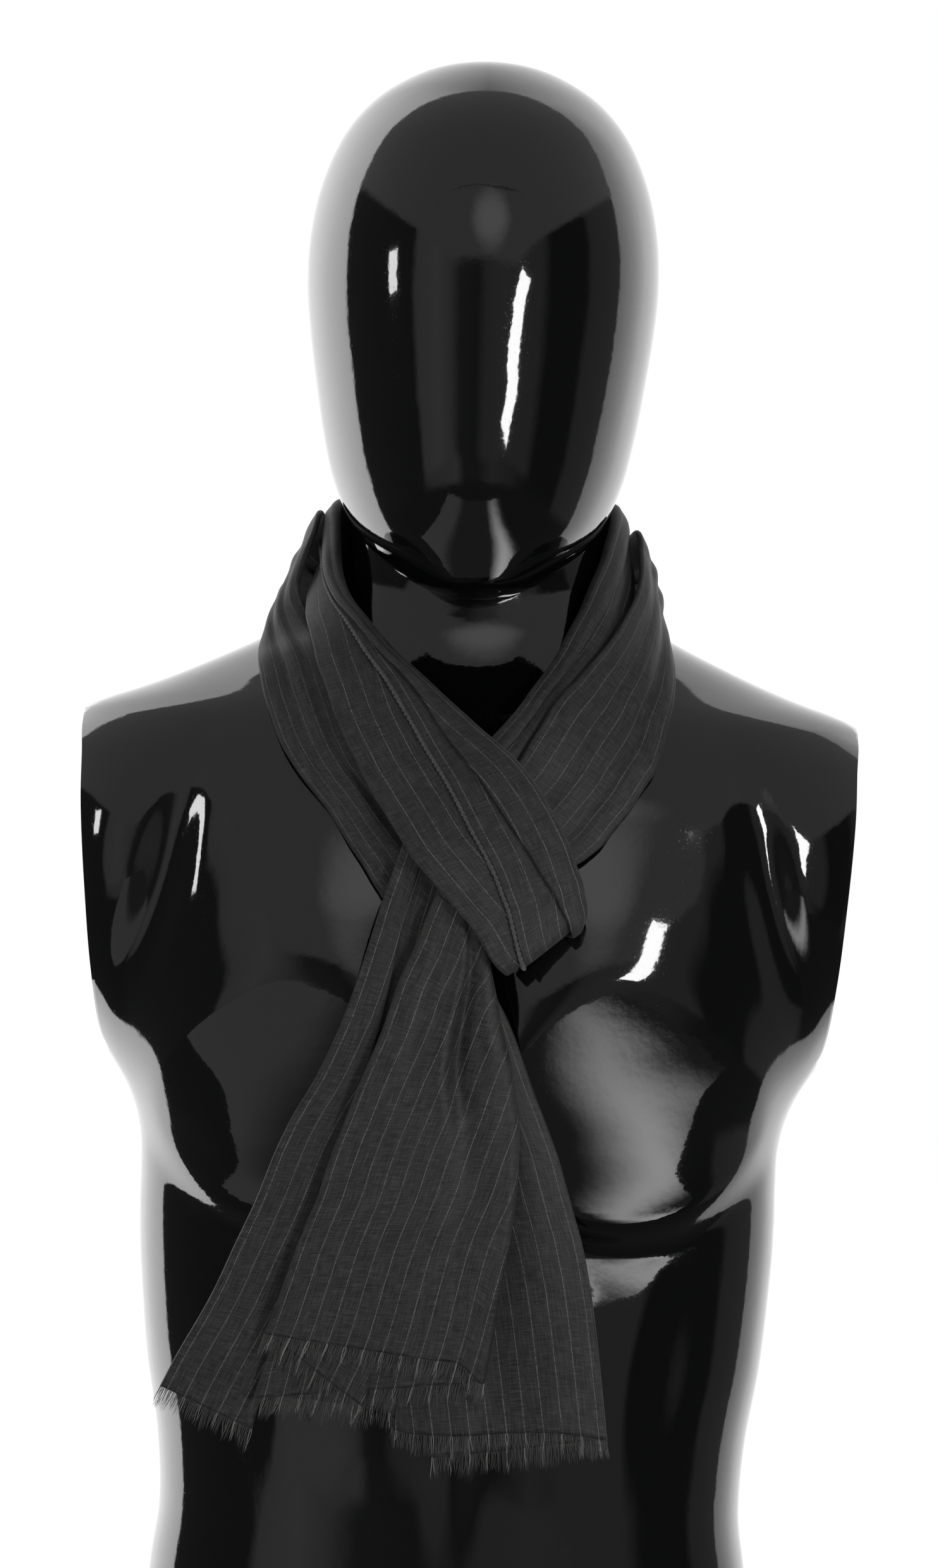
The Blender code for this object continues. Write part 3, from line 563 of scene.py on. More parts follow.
HeadRing = namedtuple("HeadRing", "z half_width half_depth centre_y")
HEAD_RINGS = rows_of(
    HeadRing,
    (470, 7, 8, -66), (474, 22, 24, -62), (484, 38, 44, -50),
    (501, 56, 71, -33), (524, 67, 87, -24), (548, 73, 93, -21),
    (571, 77, 96, -19), (595, 80.5, 99, -17), (618, 82.5, 101, -15),
    (642, 81.5, 100, -13), (666, 76.5, 94, -11), (688, 67, 83, -10),
    (704, 54, 68, -9), (715, 38, 49, -8), (721, 23, 30, -8),
    (724, 7, 9, -8),
)
print("rings of the body and of the head:", len(BODY_RINGS), len(HEAD_RINGS))


# %% Points round a ring
SIDE_ANGLE = 14.0
FRONT_STEPS = 54
SIDE_STEPS = 8
BACK_STEPS = 26
HEAD_STEPS = 112


def smooth_step(share):
    share = min(max(share, 0.0), 1.0)
    return share * share * (3 - 2 * share)


def relief_at(side, x, z):
    """How far the muscles stand out from the plain ring, less how deep the grooves lie."""
    total = 0.0
    for relief in BODY_RELIEF:
        turn = math.radians(relief.turn)
        across, up = abs(x) - relief.x, z - relief.z
        out = (across * math.cos(turn) + up * math.sin(turn)) / relief.half_x
        high = (up * math.cos(turn) - across * math.sin(turn)) / relief.half_z
        reach = math.hypot(out, high)
        if relief.side == side and reach < 1:
            upper = smooth_step(0.5 + high)
            soft = relief.soft_low + (relief.soft_high - relief.soft_low) * upper
            total += relief.height * smooth_step((1 - reach) / soft)
    return total


def body_ring_points(ring):
    """A ring of the chest, whose sides are cut flat where the arms would start."""
    cut_angle = math.acos(min(1.0, ring.cut / ring.half_width) ** (ring.squareness / 2))
    side_angle = max(math.radians(SIDE_ANGLE), cut_angle)
    quarter = math.pi / 2
    open_angle = quarter - side_angle
    angles = [-quarter + open_angle * i / FRONT_STEPS for i in range(FRONT_STEPS)]
    angles += [-side_angle + 2 * side_angle * i / SIDE_STEPS for i in range(SIDE_STEPS)]
    angles += [side_angle + open_angle * i / BACK_STEPS for i in range(BACK_STEPS + 1)]
    half = []
    for angle in angles:
        cosine, sine = math.cos(angle), math.sin(angle)
        x = ring.half_width * abs(cosine) ** (2 / ring.squareness)
        depth = abs(sine) ** (2 / ring.squareness)
        if sine > 0:
            y = NECK_AXIS_Y + (ring.back - NECK_AXIS_Y + relief_at("back", x, ring.z)) * depth
        else:
            y = NECK_AXIS_Y - (ring.front + NECK_AXIS_Y + relief_at("front", x, ring.z)) * depth
        half.append((min(x, ring.cut), y, ring.z))
    return half + [(-x, y, z) for x, y, z in reversed(half[1:-1])]


def head_ring_points(ring):
    points = []
    for i in range(HEAD_STEPS):
        angle = 2 * math.pi * i / HEAD_STEPS - math.pi / 2
        reach = Vector((ring.half_width * math.cos(angle), ring.half_depth * math.sin(angle)))
        points.append((reach.x, ring.centre_y + reach.y, ring.z))
    return points


# %% Loft the bust
RING_STEP = 3.0
SHARP_ANGLE = math.radians(40)


def lofted_object(name, rings):
    """A closed body through rings that have the same number of points."""
    count = len(rings[0])
    points = [Vector(point) * MM for ring in rings for point in ring]
    faces = [tuple(range(count - 1, -1, -1))]
    for level in range(len(rings) - 1):
        low = level * count
        for i in range(count):
            j = (i + 1) % count
            faces.append((low + i, low + j, low + count + j, low + count + i))
    top = (len(rings) - 1) * count
    faces.append(tuple(range(top, top + count)))
    return new_object(name, points, faces)


def fine_rings(rows, ring_points):
    """Rings about every 3 mm of height, read from the smooth curve through the rows."""
    places = []
    for index in range(len(rows) - 1):
        parts = max(3, round((rows[index + 1].z - rows[index].z) / RING_STEP))
        places += [index + part / parts for part in range(parts)]
    places.append(len(rows) - 1)
    return [ring_points(row_at(rows, place)) for place in places]


def settle_modifiers(piece):
    """Swaps a piece's mesh for the one that its modifiers make."""
    shown = piece.evaluated_get(bpy.context.evaluated_depsgraph_get())
    mesh = bpy.data.meshes.new_from_object(shown)
    piece.modifiers.clear()
    piece.data = mesh


def build_bust():
    bust = lofted_object("bust_shell", fine_rings(BODY_RINGS, body_ring_points))
    head = lofted_object("head_shell", fine_rings(HEAD_RINGS, head_ring_points))
    join = bust.modifiers.new("head", "BOOLEAN")
    join.operation = "UNION"
    join.solver = "EXACT"
    join.object = head
    settle_modifiers(bust)
    bpy.data.objects.remove(head)
    bust.data.shade_smooth()
    bust.data.set_sharp_from_angle(angle=SHARP_ANGLE)
    bust.data.materials.clear()
    bust.data.materials.append(lacquer)
    return bust


bust = build_bust()
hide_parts("form_bust")
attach(bust, "root")
print("bust faces:", len(bust.data.polygons))

# %% [markdown]
# ## Folding the cloth
#
# A strand of the scarf is a row of sections, and each section is the cloth's way across it, from
# one selvedge to the other, through every fold. A fold is named by how far across it lies and by
# the level at which the cloth comes in and goes out. Where the two levels differ, the cloth turns
# back on itself in a half circle. Between the folds it runs in smooth panels.
#
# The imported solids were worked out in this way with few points. The same rows are read here in
# finer steps, and the wall is as thin as silk looks.

# %% The cloth's way across a section
Fold = namedtuple("Fold", "at level_in level_out steps drop", defaults=(1, 0.0))
Anchor = namedtuple("Anchor", "fold mark back onward")
FINER = 4
TURN_STEPS = 8


def smooth_panel(knots, steps):
    """Points on a smooth panel through its knots, the first one left out."""
    points = []
    last = len(knots) - 1
    for i in range(last):
        before = knots[max(i - 1, 0)]
        after = knots[min(i + 2, last)]
        for j in range(1, steps[i] + 1):
            points.append(curve_through(before, knots[i], knots[i + 1], after, j / steps[i]))
    return points


def cloth_path(width, folds):
    """The way across: reach, level and drop of each point, and the point where each fold lies."""
    knots, steps, path, marks = [], [], [], []
    open_marks = []

    def close_panel():
        start = len(path) - 1 if path else 0
        if not path:
            path.append(knots[0])
        path.extend(smooth_panel(knots, steps))
        for number, knot_index in open_marks:
            marks.append((number, start + sum(steps[:knot_index])))
        open_marks.clear()

    for number, fold in enumerate(folds):
        across = fold.at * width
        if fold.level_in == fold.level_out:
            open_marks.append((number, len(knots)))
            knots.append((across, fold.level_in, fold.drop))
            steps.append(fold.steps * FINER)
            continue
        side = 1.0 if fold.at > folds[number - 1].at else -1.0
        radius = abs(fold.level_out - fold.level_in) / 2
        centre = across - side * radius
        knots.append((centre, fold.level_in, fold.drop))
        close_panel()
        middle = (fold.level_in + fold.level_out) / 2
        half = (fold.level_in - fold.level_out) / 2
        marks.append((number, len(path) - 1 + TURN_STEPS // 2))
        for i in range(1, TURN_STEPS + 1):
            turn = math.pi * i / TURN_STEPS
            reach = centre + side * radius * math.sin(turn)
            path.append((reach, middle + half * math.cos(turn), fold.drop))
        knots = [path[-1]]
        steps = [fold.steps * FINER]
    close_panel()
    return path, dict(marks)


# %% [markdown]
# ### Where the stripes run
#
# The pinstripes are woven in, so they run at a fixed distance from the selvedge. As a strand gets
# wider or narrower the hidden tucks give or take cloth, and the stripes on a panel that shows
# stay parallel to one of its folds. So V is anchored at such folds. It is measured in true
# millimetres from there over the panels that show, and it is spread evenly over the hidden ones.

# %% Measure V across a section
def gone_along(points):
    """The length of a line up to each of its points."""
    gone = [0.0]
    for first, second in zip(points, points[1:]):
        gone.append(gone[-1] + (second - first).length)
    return gone


def across_cloth(points, marks, anchors):
    """V at each point of a section, in millimetres, true to scale beside the anchored folds."""
    gone = gone_along(points)
    last = len(points) - 1
    fixed = {}
    for anchor in anchors:
        here = marks[anchor.fold]
        start = marks.get(anchor.fold - anchor.back, 0)
        end = marks.get(anchor.fold + anchor.onward, last)
        for i in range(start, end + 1):
            fixed[i] = anchor.mark + gone[i] - gone[here]
    known = sorted(fixed)
    values = []
    for i in range(last + 1):
        if i in fixed:
            values.append(fixed[i])
        elif i < known[0]:
            values.append(fixed[known[0]] + gone[i] - gone[known[0]])
        elif i > known[-1]:
            values.append(fixed[known[-1]] + gone[i] - gone[known[-1]])
        else:
            left = max(k for k in known if k < i)
            right = min(k for k in known if k > i)
            part = (gone[i] - gone[left]) / (gone[right] - gone[left])
            values.append(fixed[left] + (fixed[right] - fixed[left]) * part)
    return values


# %% [markdown]
# ### Listed creases
#
# Silk that has been tied and worn is never even. A crease here is a soft ridge or trough that
# runs from one place on a strand to another. It lifts every layer by the same amount, so the
# layers can't cross. A slow noise adds the small unevenness that no table could hold.

# %% Creases and unevenness
Crease = namedtuple("Crease", "start end at_start at_end height width")


def crease_lift(creases, place, share):
    lift = 0.0
    for crease in creases:
        if not crease.start < place < crease.end:
            continue
        way = (place - crease.start) / (crease.end - crease.start)
        at = crease.at_start + (crease.at_end - crease.at_start) * way
        ease = math.sin(math.pi * way) ** 0.7
        lift += crease.height * ease * math.exp(-(((share - at) / crease.width) ** 2))
    return lift


def uneven(seed, *place):
    """A smooth value between about -1 and 1 that changes slowly with place."""
    spot = [*place, 0.0][:2]
    return noise.noise(Vector((spot[0], spot[1], seed * 7.3))) * 1.6


# %% Sections of a strand
Strand = namedtuple("Strand", "name rows recipe anchors creases crown seed parts_per_row")
Station = namedtuple("Station", "low high out along")
STEP_HERE = 0.3
UNEVEN = 0.35
WOBBLE = 0.5


def middle_at(rows, place):
    row = row_at(rows, place)
    return (Vector(row.low) + Vector(row.high)) / 2


def station_at(strand, place):
    """Where a section stands: its two borders, and its outward and onward directions."""
    row = row_at(strand.rows, place)
    low, high = Vector(row.low), Vector(row.high)
    along = middle_at(strand.rows, place + STEP_HERE) - middle_at(strand.rows, place - STEP_HERE)
    across = (high - low).normalized()
    low += across * WOBBLE * uneven(strand.seed, place * 1.3)
    high += across * WOBBLE * uneven(strand.seed + 3, place * 1.1)
    return Station(low, high, along.cross(high - low).normalized(), along.normalized())


def section_at(strand, place):
    """The points of one section in space, and V at each of them."""
    station = station_at(strand, place)
    row = row_at(strand.rows, place)
    width = (station.high - station.low).length
    across = (station.high - station.low).normalized()
    path, marks = cloth_path(width, strand.recipe(row, width))
    points = []
    for reach, level, drop in path:
        share = min(max(reach / width, 0.0), 1.0)
        lift = level + strand.crown * 4 * share * (1 - share)
        lift += crease_lift(strand.creases, place, share)
        lift += UNEVEN * uneven(strand.seed + 5, place * 0.9, share * 2.2)
        points.append(station.low + across * reach + station.out * lift + station.along * drop)
    return points, across_cloth(points, marks, strand.anchors)


# %% [markdown]
# ### From sections to cloth
#
# The sections are joined by faces, and each corner of a face gets its place on the cloth. The
# Solidify modifier then gives the sheet its thickness.

# %% Sew the sections together
SILK_WALL = 0.45


def cloth_object(name, sections, spreads):
    """A sheet through the sections, with its UV map in metres and a thin wall."""
    count = len(sections[0])
    points = [point * MM for section in sections for point in section]
    along = [0.0]
    for first, second in zip(sections, sections[1:]):
        steps = [(b - a).length for a, b in zip(first, second)]
        along.append(along[-1] + sum(steps) / count)
    places = [(along[i] * MM, v * MM) for i, spread in enumerate(spreads) for v in spread]
    faces = []
    for line in range(len(sections) - 1):
        for i in range(line * count, (line + 1) * count - 1):
            faces.append((i, i + 1, i + 1 + count, i + count))
    piece = new_object(name, points, faces)
    mesh = piece.data
    uv = mesh.uv_layers.new(name="cloth")
    for loop in mesh.loops:
        uv.data[loop.index].uv = places[loop.vertex_index]
    mesh.shade_smooth()
    mesh.materials.append(silk)
    wall = piece.modifiers.new("wall", "SOLIDIFY")
    wall.thickness = SILK_WALL * MM
    wall.offset = 0.0
    area = sum(face.area for face in mesh.polygons)
    print(name, "length", round(along[-1]), "mm, area", round(area, 4), "m2, faces", len(faces))
    return piece


def sew(strand, start=0.0, end=None):
    end = len(strand.rows) - 1 if end is None else end
    count = round((end - start) * strand.parts_per_row)
    cuts = [section_at(strand, start + (end - start) * i / count) for i in range(count + 1)]
    sections = [points for points, spread in cuts]
    spreads = [spread for points, spread in cuts]
    return cloth_object(strand.name, sections, spreads), sections, spreads


# %% [markdown]
# ## The inner strand
#
# One strand starts behind the front band at the right, climbs beside the neck, passes behind it
# and comes down across the front as the band. On the band three panels show: the left one, the
# middle one with its whipped edge, and the right one, which a long pleat lays over the middle.
#
# low is the border that lies lower or further out, high the one nearer the neck. hem is the place
# of the whipped edge and pleat that of the pleat, as shares of the way from low to high.

# %% Rows of the inner strand, in millimetres
LAYER = 1.6
InnerRow = namedtuple("InnerRow", "low high hem pleat puff")
INNER_RIGHT = rows_of(
    InnerRow,
    ((5, -101, 371), (-12, -103, 382), 0.1, 0.66, 0.95),
    ((17, -99, 381), (-2, -101, 394), 0.1, 0.66, 0.95),
    ((29, -95, 391), (9, -96, 406), 0.1, 0.66, 0.95),
    ((38, -88, 406), (20, -88, 418), 0.1, 0.66, 0.95),
    ((48, -79, 420), (29, -79, 431), 0.1, 0.66, 0.95),
    ((58, -67, 433), (38, -69, 445), 0.1, 0.66, 0.95),
    ((67, -54, 446), (46, -57, 461), 0.1, 0.66, 0.95),
    ((73, -35, 461), (54, -41, 479), 0.1, 0.66, 0.95),
    ((75, -13, 476), (60, -21, 497), 0.1, 0.64, 1.0),
)
FRONT_BAND = rows_of(
    InnerRow,
    ((-76, -12, 480), (-64, -15, 500), 0.5, 0.68, 0.95),
    ((-78, -28, 472), (-62, -35, 484), 0.58, 0.67, 0.95),
    ((-78, -44, 462), (-56, -54, 469), 0.65, 0.72, 0.95),
    ((-75, -59, 451), (-47, -66, 458), 0.67, 0.79, 1.0),
    ((-70, -73, 436), (-34, -77, 444), 0.66, 0.82, 1.0),
    ((-62, -89, 415), (-16, -90, 428), 0.62, 0.83, 1.0),
    ((-50, -102, 391), (4, -103, 411), 0.55, 0.75, 1.0),
    ((-35, -121, 367), (24, -116, 393), 0.48, 0.71, 1.0),
    ((-21, -131, 348), (38, -124, 374), 0.44, 0.71, 1.0),
    ((-8, -134, 333), (47, -130, 355), 0.40, 0.73, 1.0),
    ((3, -136, 321), (52, -132, 342), 0.34, 0.76, 1.0),
    ((12, -135, 307), (54, -132, 333), 0.27, 0.79, 1.0),
    ((19, -127, 299), (53, -125, 327), 0.2, 0.8, 1.0),
    ((19, -116, 301), (49, -115, 327), 0.2, 0.8, 0.9),
)

# %% The stretches behind the neck
# Each row gives the height of a border and its distance off the bust, at angles that run from
# the right side, by the nape, to the left side.
WrapRow = namedtuple("WrapRow", "angle low_z low_off high_z high_off")
INNER_WRAP = rows_of(
    WrapRow,
    (0, 488, 8, 517, 4.5), (22, 483, 6, 520, 4), (45, 479, 5, 521, 4),
    (67, 477, 4.5, 521, 4), (90, 476, 4.5, 521, 4), (113, 477, 4.5, 521, 4),
    (135, 479, 5, 521, 4), (158, 483, 6, 520, 4), (180, 488, 8, 516, 4.5),
)
OUTER_WRAP = rows_of(
    WrapRow,
    (0, 472, 17, 507, 16), (22, 467, 16, 504, 16.5), (45, 461, 14.5, 500, 16),
    (67, 458, 13.5, 499, 15.5), (90, 457, 13.5, 499, 15.5),
    (113, 458, 13.5, 499, 15.5), (135, 461, 14.5, 499, 16),
    (158, 465, 16, 507, 15), (180, 469, 17, 513, 13.5),
)


def ring_at(z):
    """The straight-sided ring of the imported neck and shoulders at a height."""
    for lower, upper in zip(BODY_RINGS, BODY_RINGS[1:]):
        if z <= upper.z:
            part = max(0.0, (z - lower.z) / (upper.z - lower.z))
            return Ring(*(a + (b - a) * part for a, b in zip(lower, upper)))
    return BODY_RINGS[-1]


def neck_point(angle, z, off):
    """A point at a distance off the bust, in the direction angle round the neck's axis."""
    ring = ring_at(z)
    cosine, sine = math.cos(angle), math.sin(angle)
    depth = ring.back - NECK_AXIS_Y if sine > 0 else ring.front + NECK_AXIS_Y
    power = ring.squareness
    reach = (abs(cosine / ring.half_width) ** power + abs(sine / depth) ** power) ** (-1 / power)
    reach += off
    return (reach * cosine, NECK_AXIS_Y + reach * sine, z)


def wrap_borders(wrap):
    for row in wrap:
        turn = math.radians(row.angle)
        low = neck_point(turn, row.low_z, row.low_off)
        high = neck_point(turn, row.high_z, row.high_off)
        yield low, high, row.angle / 180


# %% Fold and sew the inner strand
def inner_folds(row, width):
    """From the whipped edge, by the pleat, round the high border, back under, and to the front."""
    step = LAYER * row.puff
    tuck = min(0.1, 0.45 * (1 - row.pleat - 1.5 * step / width))
    under = min(row.hem + 0.2, row.pleat - 0.04)
    back = -1.25 * step
    return [
        Fold(row.hem, step, step, 3),
        Fold(row.pleat + tuck, step, 2 * step, 1),
        Fold(row.pleat - 0.02, 2 * step, 3 * step, 1),
        Fold(row.pleat + tuck + 0.01, 3 * step, 3 * step, 2),
        Fold(1.0, 2 * step, back, 3),
        Fold(0.5, back, back, 3),
        Fold(0.0, back, 0.0, 2),
        Fold(0.3 * row.hem + 0.08, 0.45 * row.hem * step, 0.45 * row.hem * step, 2),
        Fold(under, -0.1 * step, -0.1 * step),
    ]


INNER_ANCHORS = [
    Anchor(fold=0, mark=0.0, back=0, onward=1),
    Anchor(fold=4, mark=92.4, back=2, onward=1),
    Anchor(fold=6, mark=180.6, back=0, onward=9),
]
INNER_CREASES = rows_of(
    Crease,
    (0, 12, 0.5, 0.42, 0.8, 0.1),
    (2, 10, 0.2, 0.28, -0.5, 0.08),
    (10, 16, 0.3, 0.6, 0.8, 0.1),
    (12, 19, 0.75, 0.4, 0.7, 0.09),
    (14, 18, 0.2, 0.25, -0.7, 0.1),
    (20, 27, 0.3, 0.2, 0.6, 0.1),
    (22, 31, 0.92, 0.9, 0.6, 0.06),
)


def inner_strand_rows():
    wrap = [
        InnerRow(low, high, 0.1 + 0.3 * share, 0.66 + 0.04 * share, 0.95)
        for low, high, share in wrap_borders(INNER_WRAP)
    ]
    return INNER_RIGHT + wrap + FRONT_BAND


inner = Strand("inner_strand", inner_strand_rows(), inner_folds, INNER_ANCHORS, INNER_CREASES, 0.5, 1, 8)
inner_piece, inner_sections, _ = sew(inner)
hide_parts("strand_inner", "wrap_inner", "loop_front")

# %% [markdown]
# ## The outer strand
#
# The other strand is a looser, flattened tube that is open along its underside. On the right it
# lies over the inner one, passes behind the neck outside it, and on the left it drops below it
# and runs beneath the band. ridge is the height of its long soft pleats.

# %% Rows of the outer strand, in millimetres
OuterRow = namedtuple("OuterRow", "low high ridge")
OUTER_RIGHT = rows_of(
    OuterRow,
    ((41, -108, 347), (3, -110, 362), 0.6), ((50, -106, 350), (8, -109, 372), 0.6),
    ((60, -104, 358), (14, -107, 386), 0.7), ((69, -100, 369), (22, -103, 396), 0.8),
    ((77, -95, 380), (31, -97, 411), 0.9), ((84, -89, 392), (41, -87, 426), 0.9),
    ((89, -80, 407), (51, -77, 438), 0.9), ((93, -69, 424), (61, -66, 450), 1.0),
    ((94, -52, 440), (71, -46, 465), 1.0), ((92, -30, 453), (78, -24, 482), 1.0),
    ((89, -10, 463), (78.5, -6, 498), 1.0),
)
LOOP_BACK = rows_of(
    OuterRow,
    ((-95, -10, 461), (-76, -8, 504), 1.0), ((-98, -28, 453), (-82.5, -24, 478), 1.0),
    ((-99, -44, 445), (-74, -39, 459), 1.2), ((-98, -59, 436), (-66, -54, 450), 1.3),
    ((-94, -73, 420), (-59, -68, 434), 1.5), ((-85, -87, 399), (-50, -84, 411), 1.5),
    ((-72, -95, 381), (-40, -93, 392), 1.4), ((-59, -101, 364), (-26, -100, 375), 1.2),
    ((-45, -106, 344), (-11, -106, 359), 1.0), ((-38, -107, 332), (-2, -107, 351), 0.8),
)


# %% Fold and sew the outer strand
def outer_folds(row, width):
    """A flattened tube, open along the middle of its underside, with soft pleats on top."""
    under = -1.3 * LAYER
    return [
        Fold(0.44, under, under, 3),
        Fold(0.0, under, 0.2, 1),
        Fold(0.14, 0.2 + 0.5 * row.ridge, 0.2 + 0.5 * row.ridge, 2),
        Fold(0.3, -0.3 * row.ridge, -0.3 * row.ridge, 2),
        Fold(0.46, 0.9 * row.ridge, 0.9 * row.ridge, 2),
        Fold(0.62, -0.2 * row.ridge, -0.2 * row.ridge, 2),
        Fold(0.8, 0.7 * row.ridge, 0.7 * row.ridge, 2),
        Fold(1.0, 0.2, under, 3),
        Fold(0.56, under, under),
    ]


OUTER_ANCHORS = [
    Anchor(fold=1, mark=42.0, back=9, onward=0),
    Anchor(fold=7, mark=100.8, back=0, onward=9),
]
OUTER_CREASES = rows_of(
    Crease,
    (0, 9, 0.25, 0.3, -0.9, 0.07),
    (3, 12, 0.6, 0.55, 0.7, 0.08),
    (11, 17, 0.3, 0.6, 1.0, 0.1),
    (13, 20, 0.7, 0.35, -0.8, 0.08),
    (18, 26, 0.15, 0.3, 0.8, 0.08),
)


def outer_strand_rows():
    wrap = [OuterRow(low, high, 1.0 + 0.3 * share) for low, high, share in wrap_borders(OUTER_WRAP)]
    return OUTER_RIGHT + wrap + LOOP_BACK


outer = Strand("outer_strand", outer_strand_rows(), outer_folds, OUTER_ANCHORS, OUTER_CREASES, 0.8, 2, 8)
outer_piece, _, _ = sew(outer)
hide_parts("strand_outer", "wrap_outer", "loop_back")

# %% [markdown]
# ## The tails
#
# The two ends hang in front, one over the other. They spread as they fall, and each is folded
# over at its sides, so that its flaps show below its own hem. spread scales the distance between
# the layers, valley is how deep the long valley is at the share valley_at of the way across, and
# hang is how much of the flaps' own length shows.

# %% Rows of the tails, in millimetres
TailRow = namedtuple("TailRow", "low high spread valley valley_at hang")
TAIL_FRONT = rows_of(
    TailRow,
    ((-11, -126, 341), (7, -126, 325), 0.9, 0.5, 0.66, 0.0),
    ((-19, -126, 320), (12, -126, 303), 1.1, 1.5, 0.72, 0.0),
    ((-29, -126, 294), (17, -126, 280), 1.8, 4.2, 0.66, 0.0),
    ((-40, -126, 263), (23, -126, 258), 2.0, 4.6, 0.61, 0.0),
    ((-53, -126, 228), (27, -126, 229), 2.0, 2.4, 0.69, 0.1),
    ((-64, -126, 196), (27, -126, 200), 1.7, 0.8, 0.75, 0.3),
    ((-75, -126, 164), (23, -126, 168), 1.4, 0.3, 0.75, 0.6),
    ((-85, -126, 135), (16, -126, 122), 1.2, 0.0, 0.75, 1.0),
)
TAIL_BACK = rows_of(
    TailRow,
    ((-29, -116, 357), (10, -116, 322), 1.0, 0.3, 0.8, 0.0),
    ((-39, -115, 327), (10, -115, 300), 1.0, 0.6, 0.8, 0.0),
    ((-49, -115, 291), (21, -115, 277), 1.1, 1.2, 0.8, 0.0),
    ((-63, -114, 256), (32, -114, 250), 1.1, 1.8, 0.8, 0.0),
    ((-79, -113, 225), (43, -113, 222), 1.1, 2.2, 0.8, 0.1),
    ((-94, -113, 187), (52, -113, 196), 1.1, 2.2, 0.8, 0.3),
    ((-112, -113, 147), (62, -113, 158), 1.1, 2.2, 0.8, 0.6),
    ((-132, -114, 109), (71, -114, 94), 1.1, 2.0, 0.8, 1.0),
)


# %% Fold and sew the tails
def tail_front_folds(row, width):
    """The flap behind the left border, the front panel with its valley, and the layer behind."""
    step = LAYER * 1.3 * row.spread
    at = row.valley_at
    return [
        Fold(0.5, -step, -step, 3, 26 * row.hang),
        Fold(0.0, -step, 0.0, 3, 0.0),
        Fold(at - 0.22, 0.3, 0.3, 2),
        Fold(at - 0.1, 0.25 * row.valley, 0.25 * row.valley, 2),
        Fold(at, -row.valley, -row.valley, 2),
        Fold(at + 0.12, -0.1 * row.valley, -0.1 * row.valley, 2),
        Fold(1.0, 0.0, -2 * step, 5, 7 * row.hang),
        Fold(0.02, -2 * step, -2 * step, 1, 30 * row.hang),
    ]


def tail_back_folds(row, width):
    """The flap in front of the left border, the wide panel behind, and the layer behind that."""
    step = LAYER * 1.2 * row.spread
    return [
        Fold(0.215, step, step, 3, 15 * row.hang),
        Fold(0.0, step, 0.0, 4, 0.0),
        Fold(0.48, 0.0, 0.0, 1, 0.0),
        Fold(0.53, 0.0, 0.0, 2, 9 * row.hang),
        Fold(0.66, 0.4 * row.valley, 0.4 * row.valley, 2, 9 * row.hang),
        Fold(0.76, -0.2 * row.valley, -0.2 * row.valley, 2, 6 * row.hang),
        Fold(0.88, 0.8 * row.valley, 0.8 * row.valley, 2, 3 * row.hang),
        Fold(1.0, 0.0, -step, 4, 4 * row.hang),
        Fold(0.62, -step, -step, 1, 20 * row.hang),
    ]


TAIL_FRONT_ANCHORS = [
    Anchor(fold=1, mark=42.0, back=9, onward=5),
    Anchor(fold=6, mark=147.0, back=0, onward=9),
]
TAIL_BACK_ANCHORS = [
    Anchor(fold=1, mark=42.0, back=9, onward=2),
    Anchor(fold=7, mark=252.0, back=4, onward=9),
]
TAIL_FRONT_CREASES = rows_of(
    Crease,
    (0.2, 3.5, 0.3, 0.25, -0.5, 0.05),
    (0.5, 5.5, 0.16, 0.2, 0.5, 0.06),
    (1.0, 4.2, 0.88, 0.86, 0.8, 0.06),
)
TAIL_BACK_CREASES = rows_of(
    Crease,
    (0.5, 6.0, 0.1, 0.1, 0.4, 0.05),
    (2.0, 7.0, 0.7, 0.74, -0.6, 0.05),
)
tail_front = Strand(
    "front_tail", TAIL_FRONT, tail_front_folds, TAIL_FRONT_ANCHORS, TAIL_FRONT_CREASES, 0.6, 3, 16
)
tail_back = Strand(
    "back_tail", TAIL_BACK, tail_back_folds, TAIL_BACK_ANCHORS, TAIL_BACK_CREASES, 0.6, 4, 16
)
front_piece, front_sections, front_spreads = sew(tail_front)
back_piece, back_sections, back_spreads = sew(tail_back)
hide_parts("tail_front")
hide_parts("tail_back")

# %% [markdown]
# ## The whipped edge
#
# The selvedge is rolled and whipped with thread, and on the front band it lies on top, where it
# looks like a thin rope. A tube whose radius swells twice round, with the swelling turning as it
# goes along, is such a rope. It follows the first point of every section.

# %% Roll the selvedge, in millimetres
ROPE_RADIUS = 0.8
ROPE_TWIST = 2.6
ROPE_STEP = 0.3
ROPE_SIDES = 12
ROPE_OUT = 0.4
ROPE_UP = 0.35
ROPE_SWELL = 0.26
ROPE_UNEVEN = 0.12


def even_line(points, step):
    """Equal steps along a line, each as the number of its point and the part of the way to the next."""
    gone = gone_along(points)
    count = max(2, round(gone[-1] / step))
    line = []
    index = 0
    for i in range(count + 1):
        target = gone[-1] * i / count
        while index < len(points) - 2 and gone[index + 1] < target:
            index += 1
        part = (target - gone[index]) / max(gone[index + 1] - gone[index], 1e-9)
        line.append((index, min(part, 1.0)))
    return line, gone[-1]


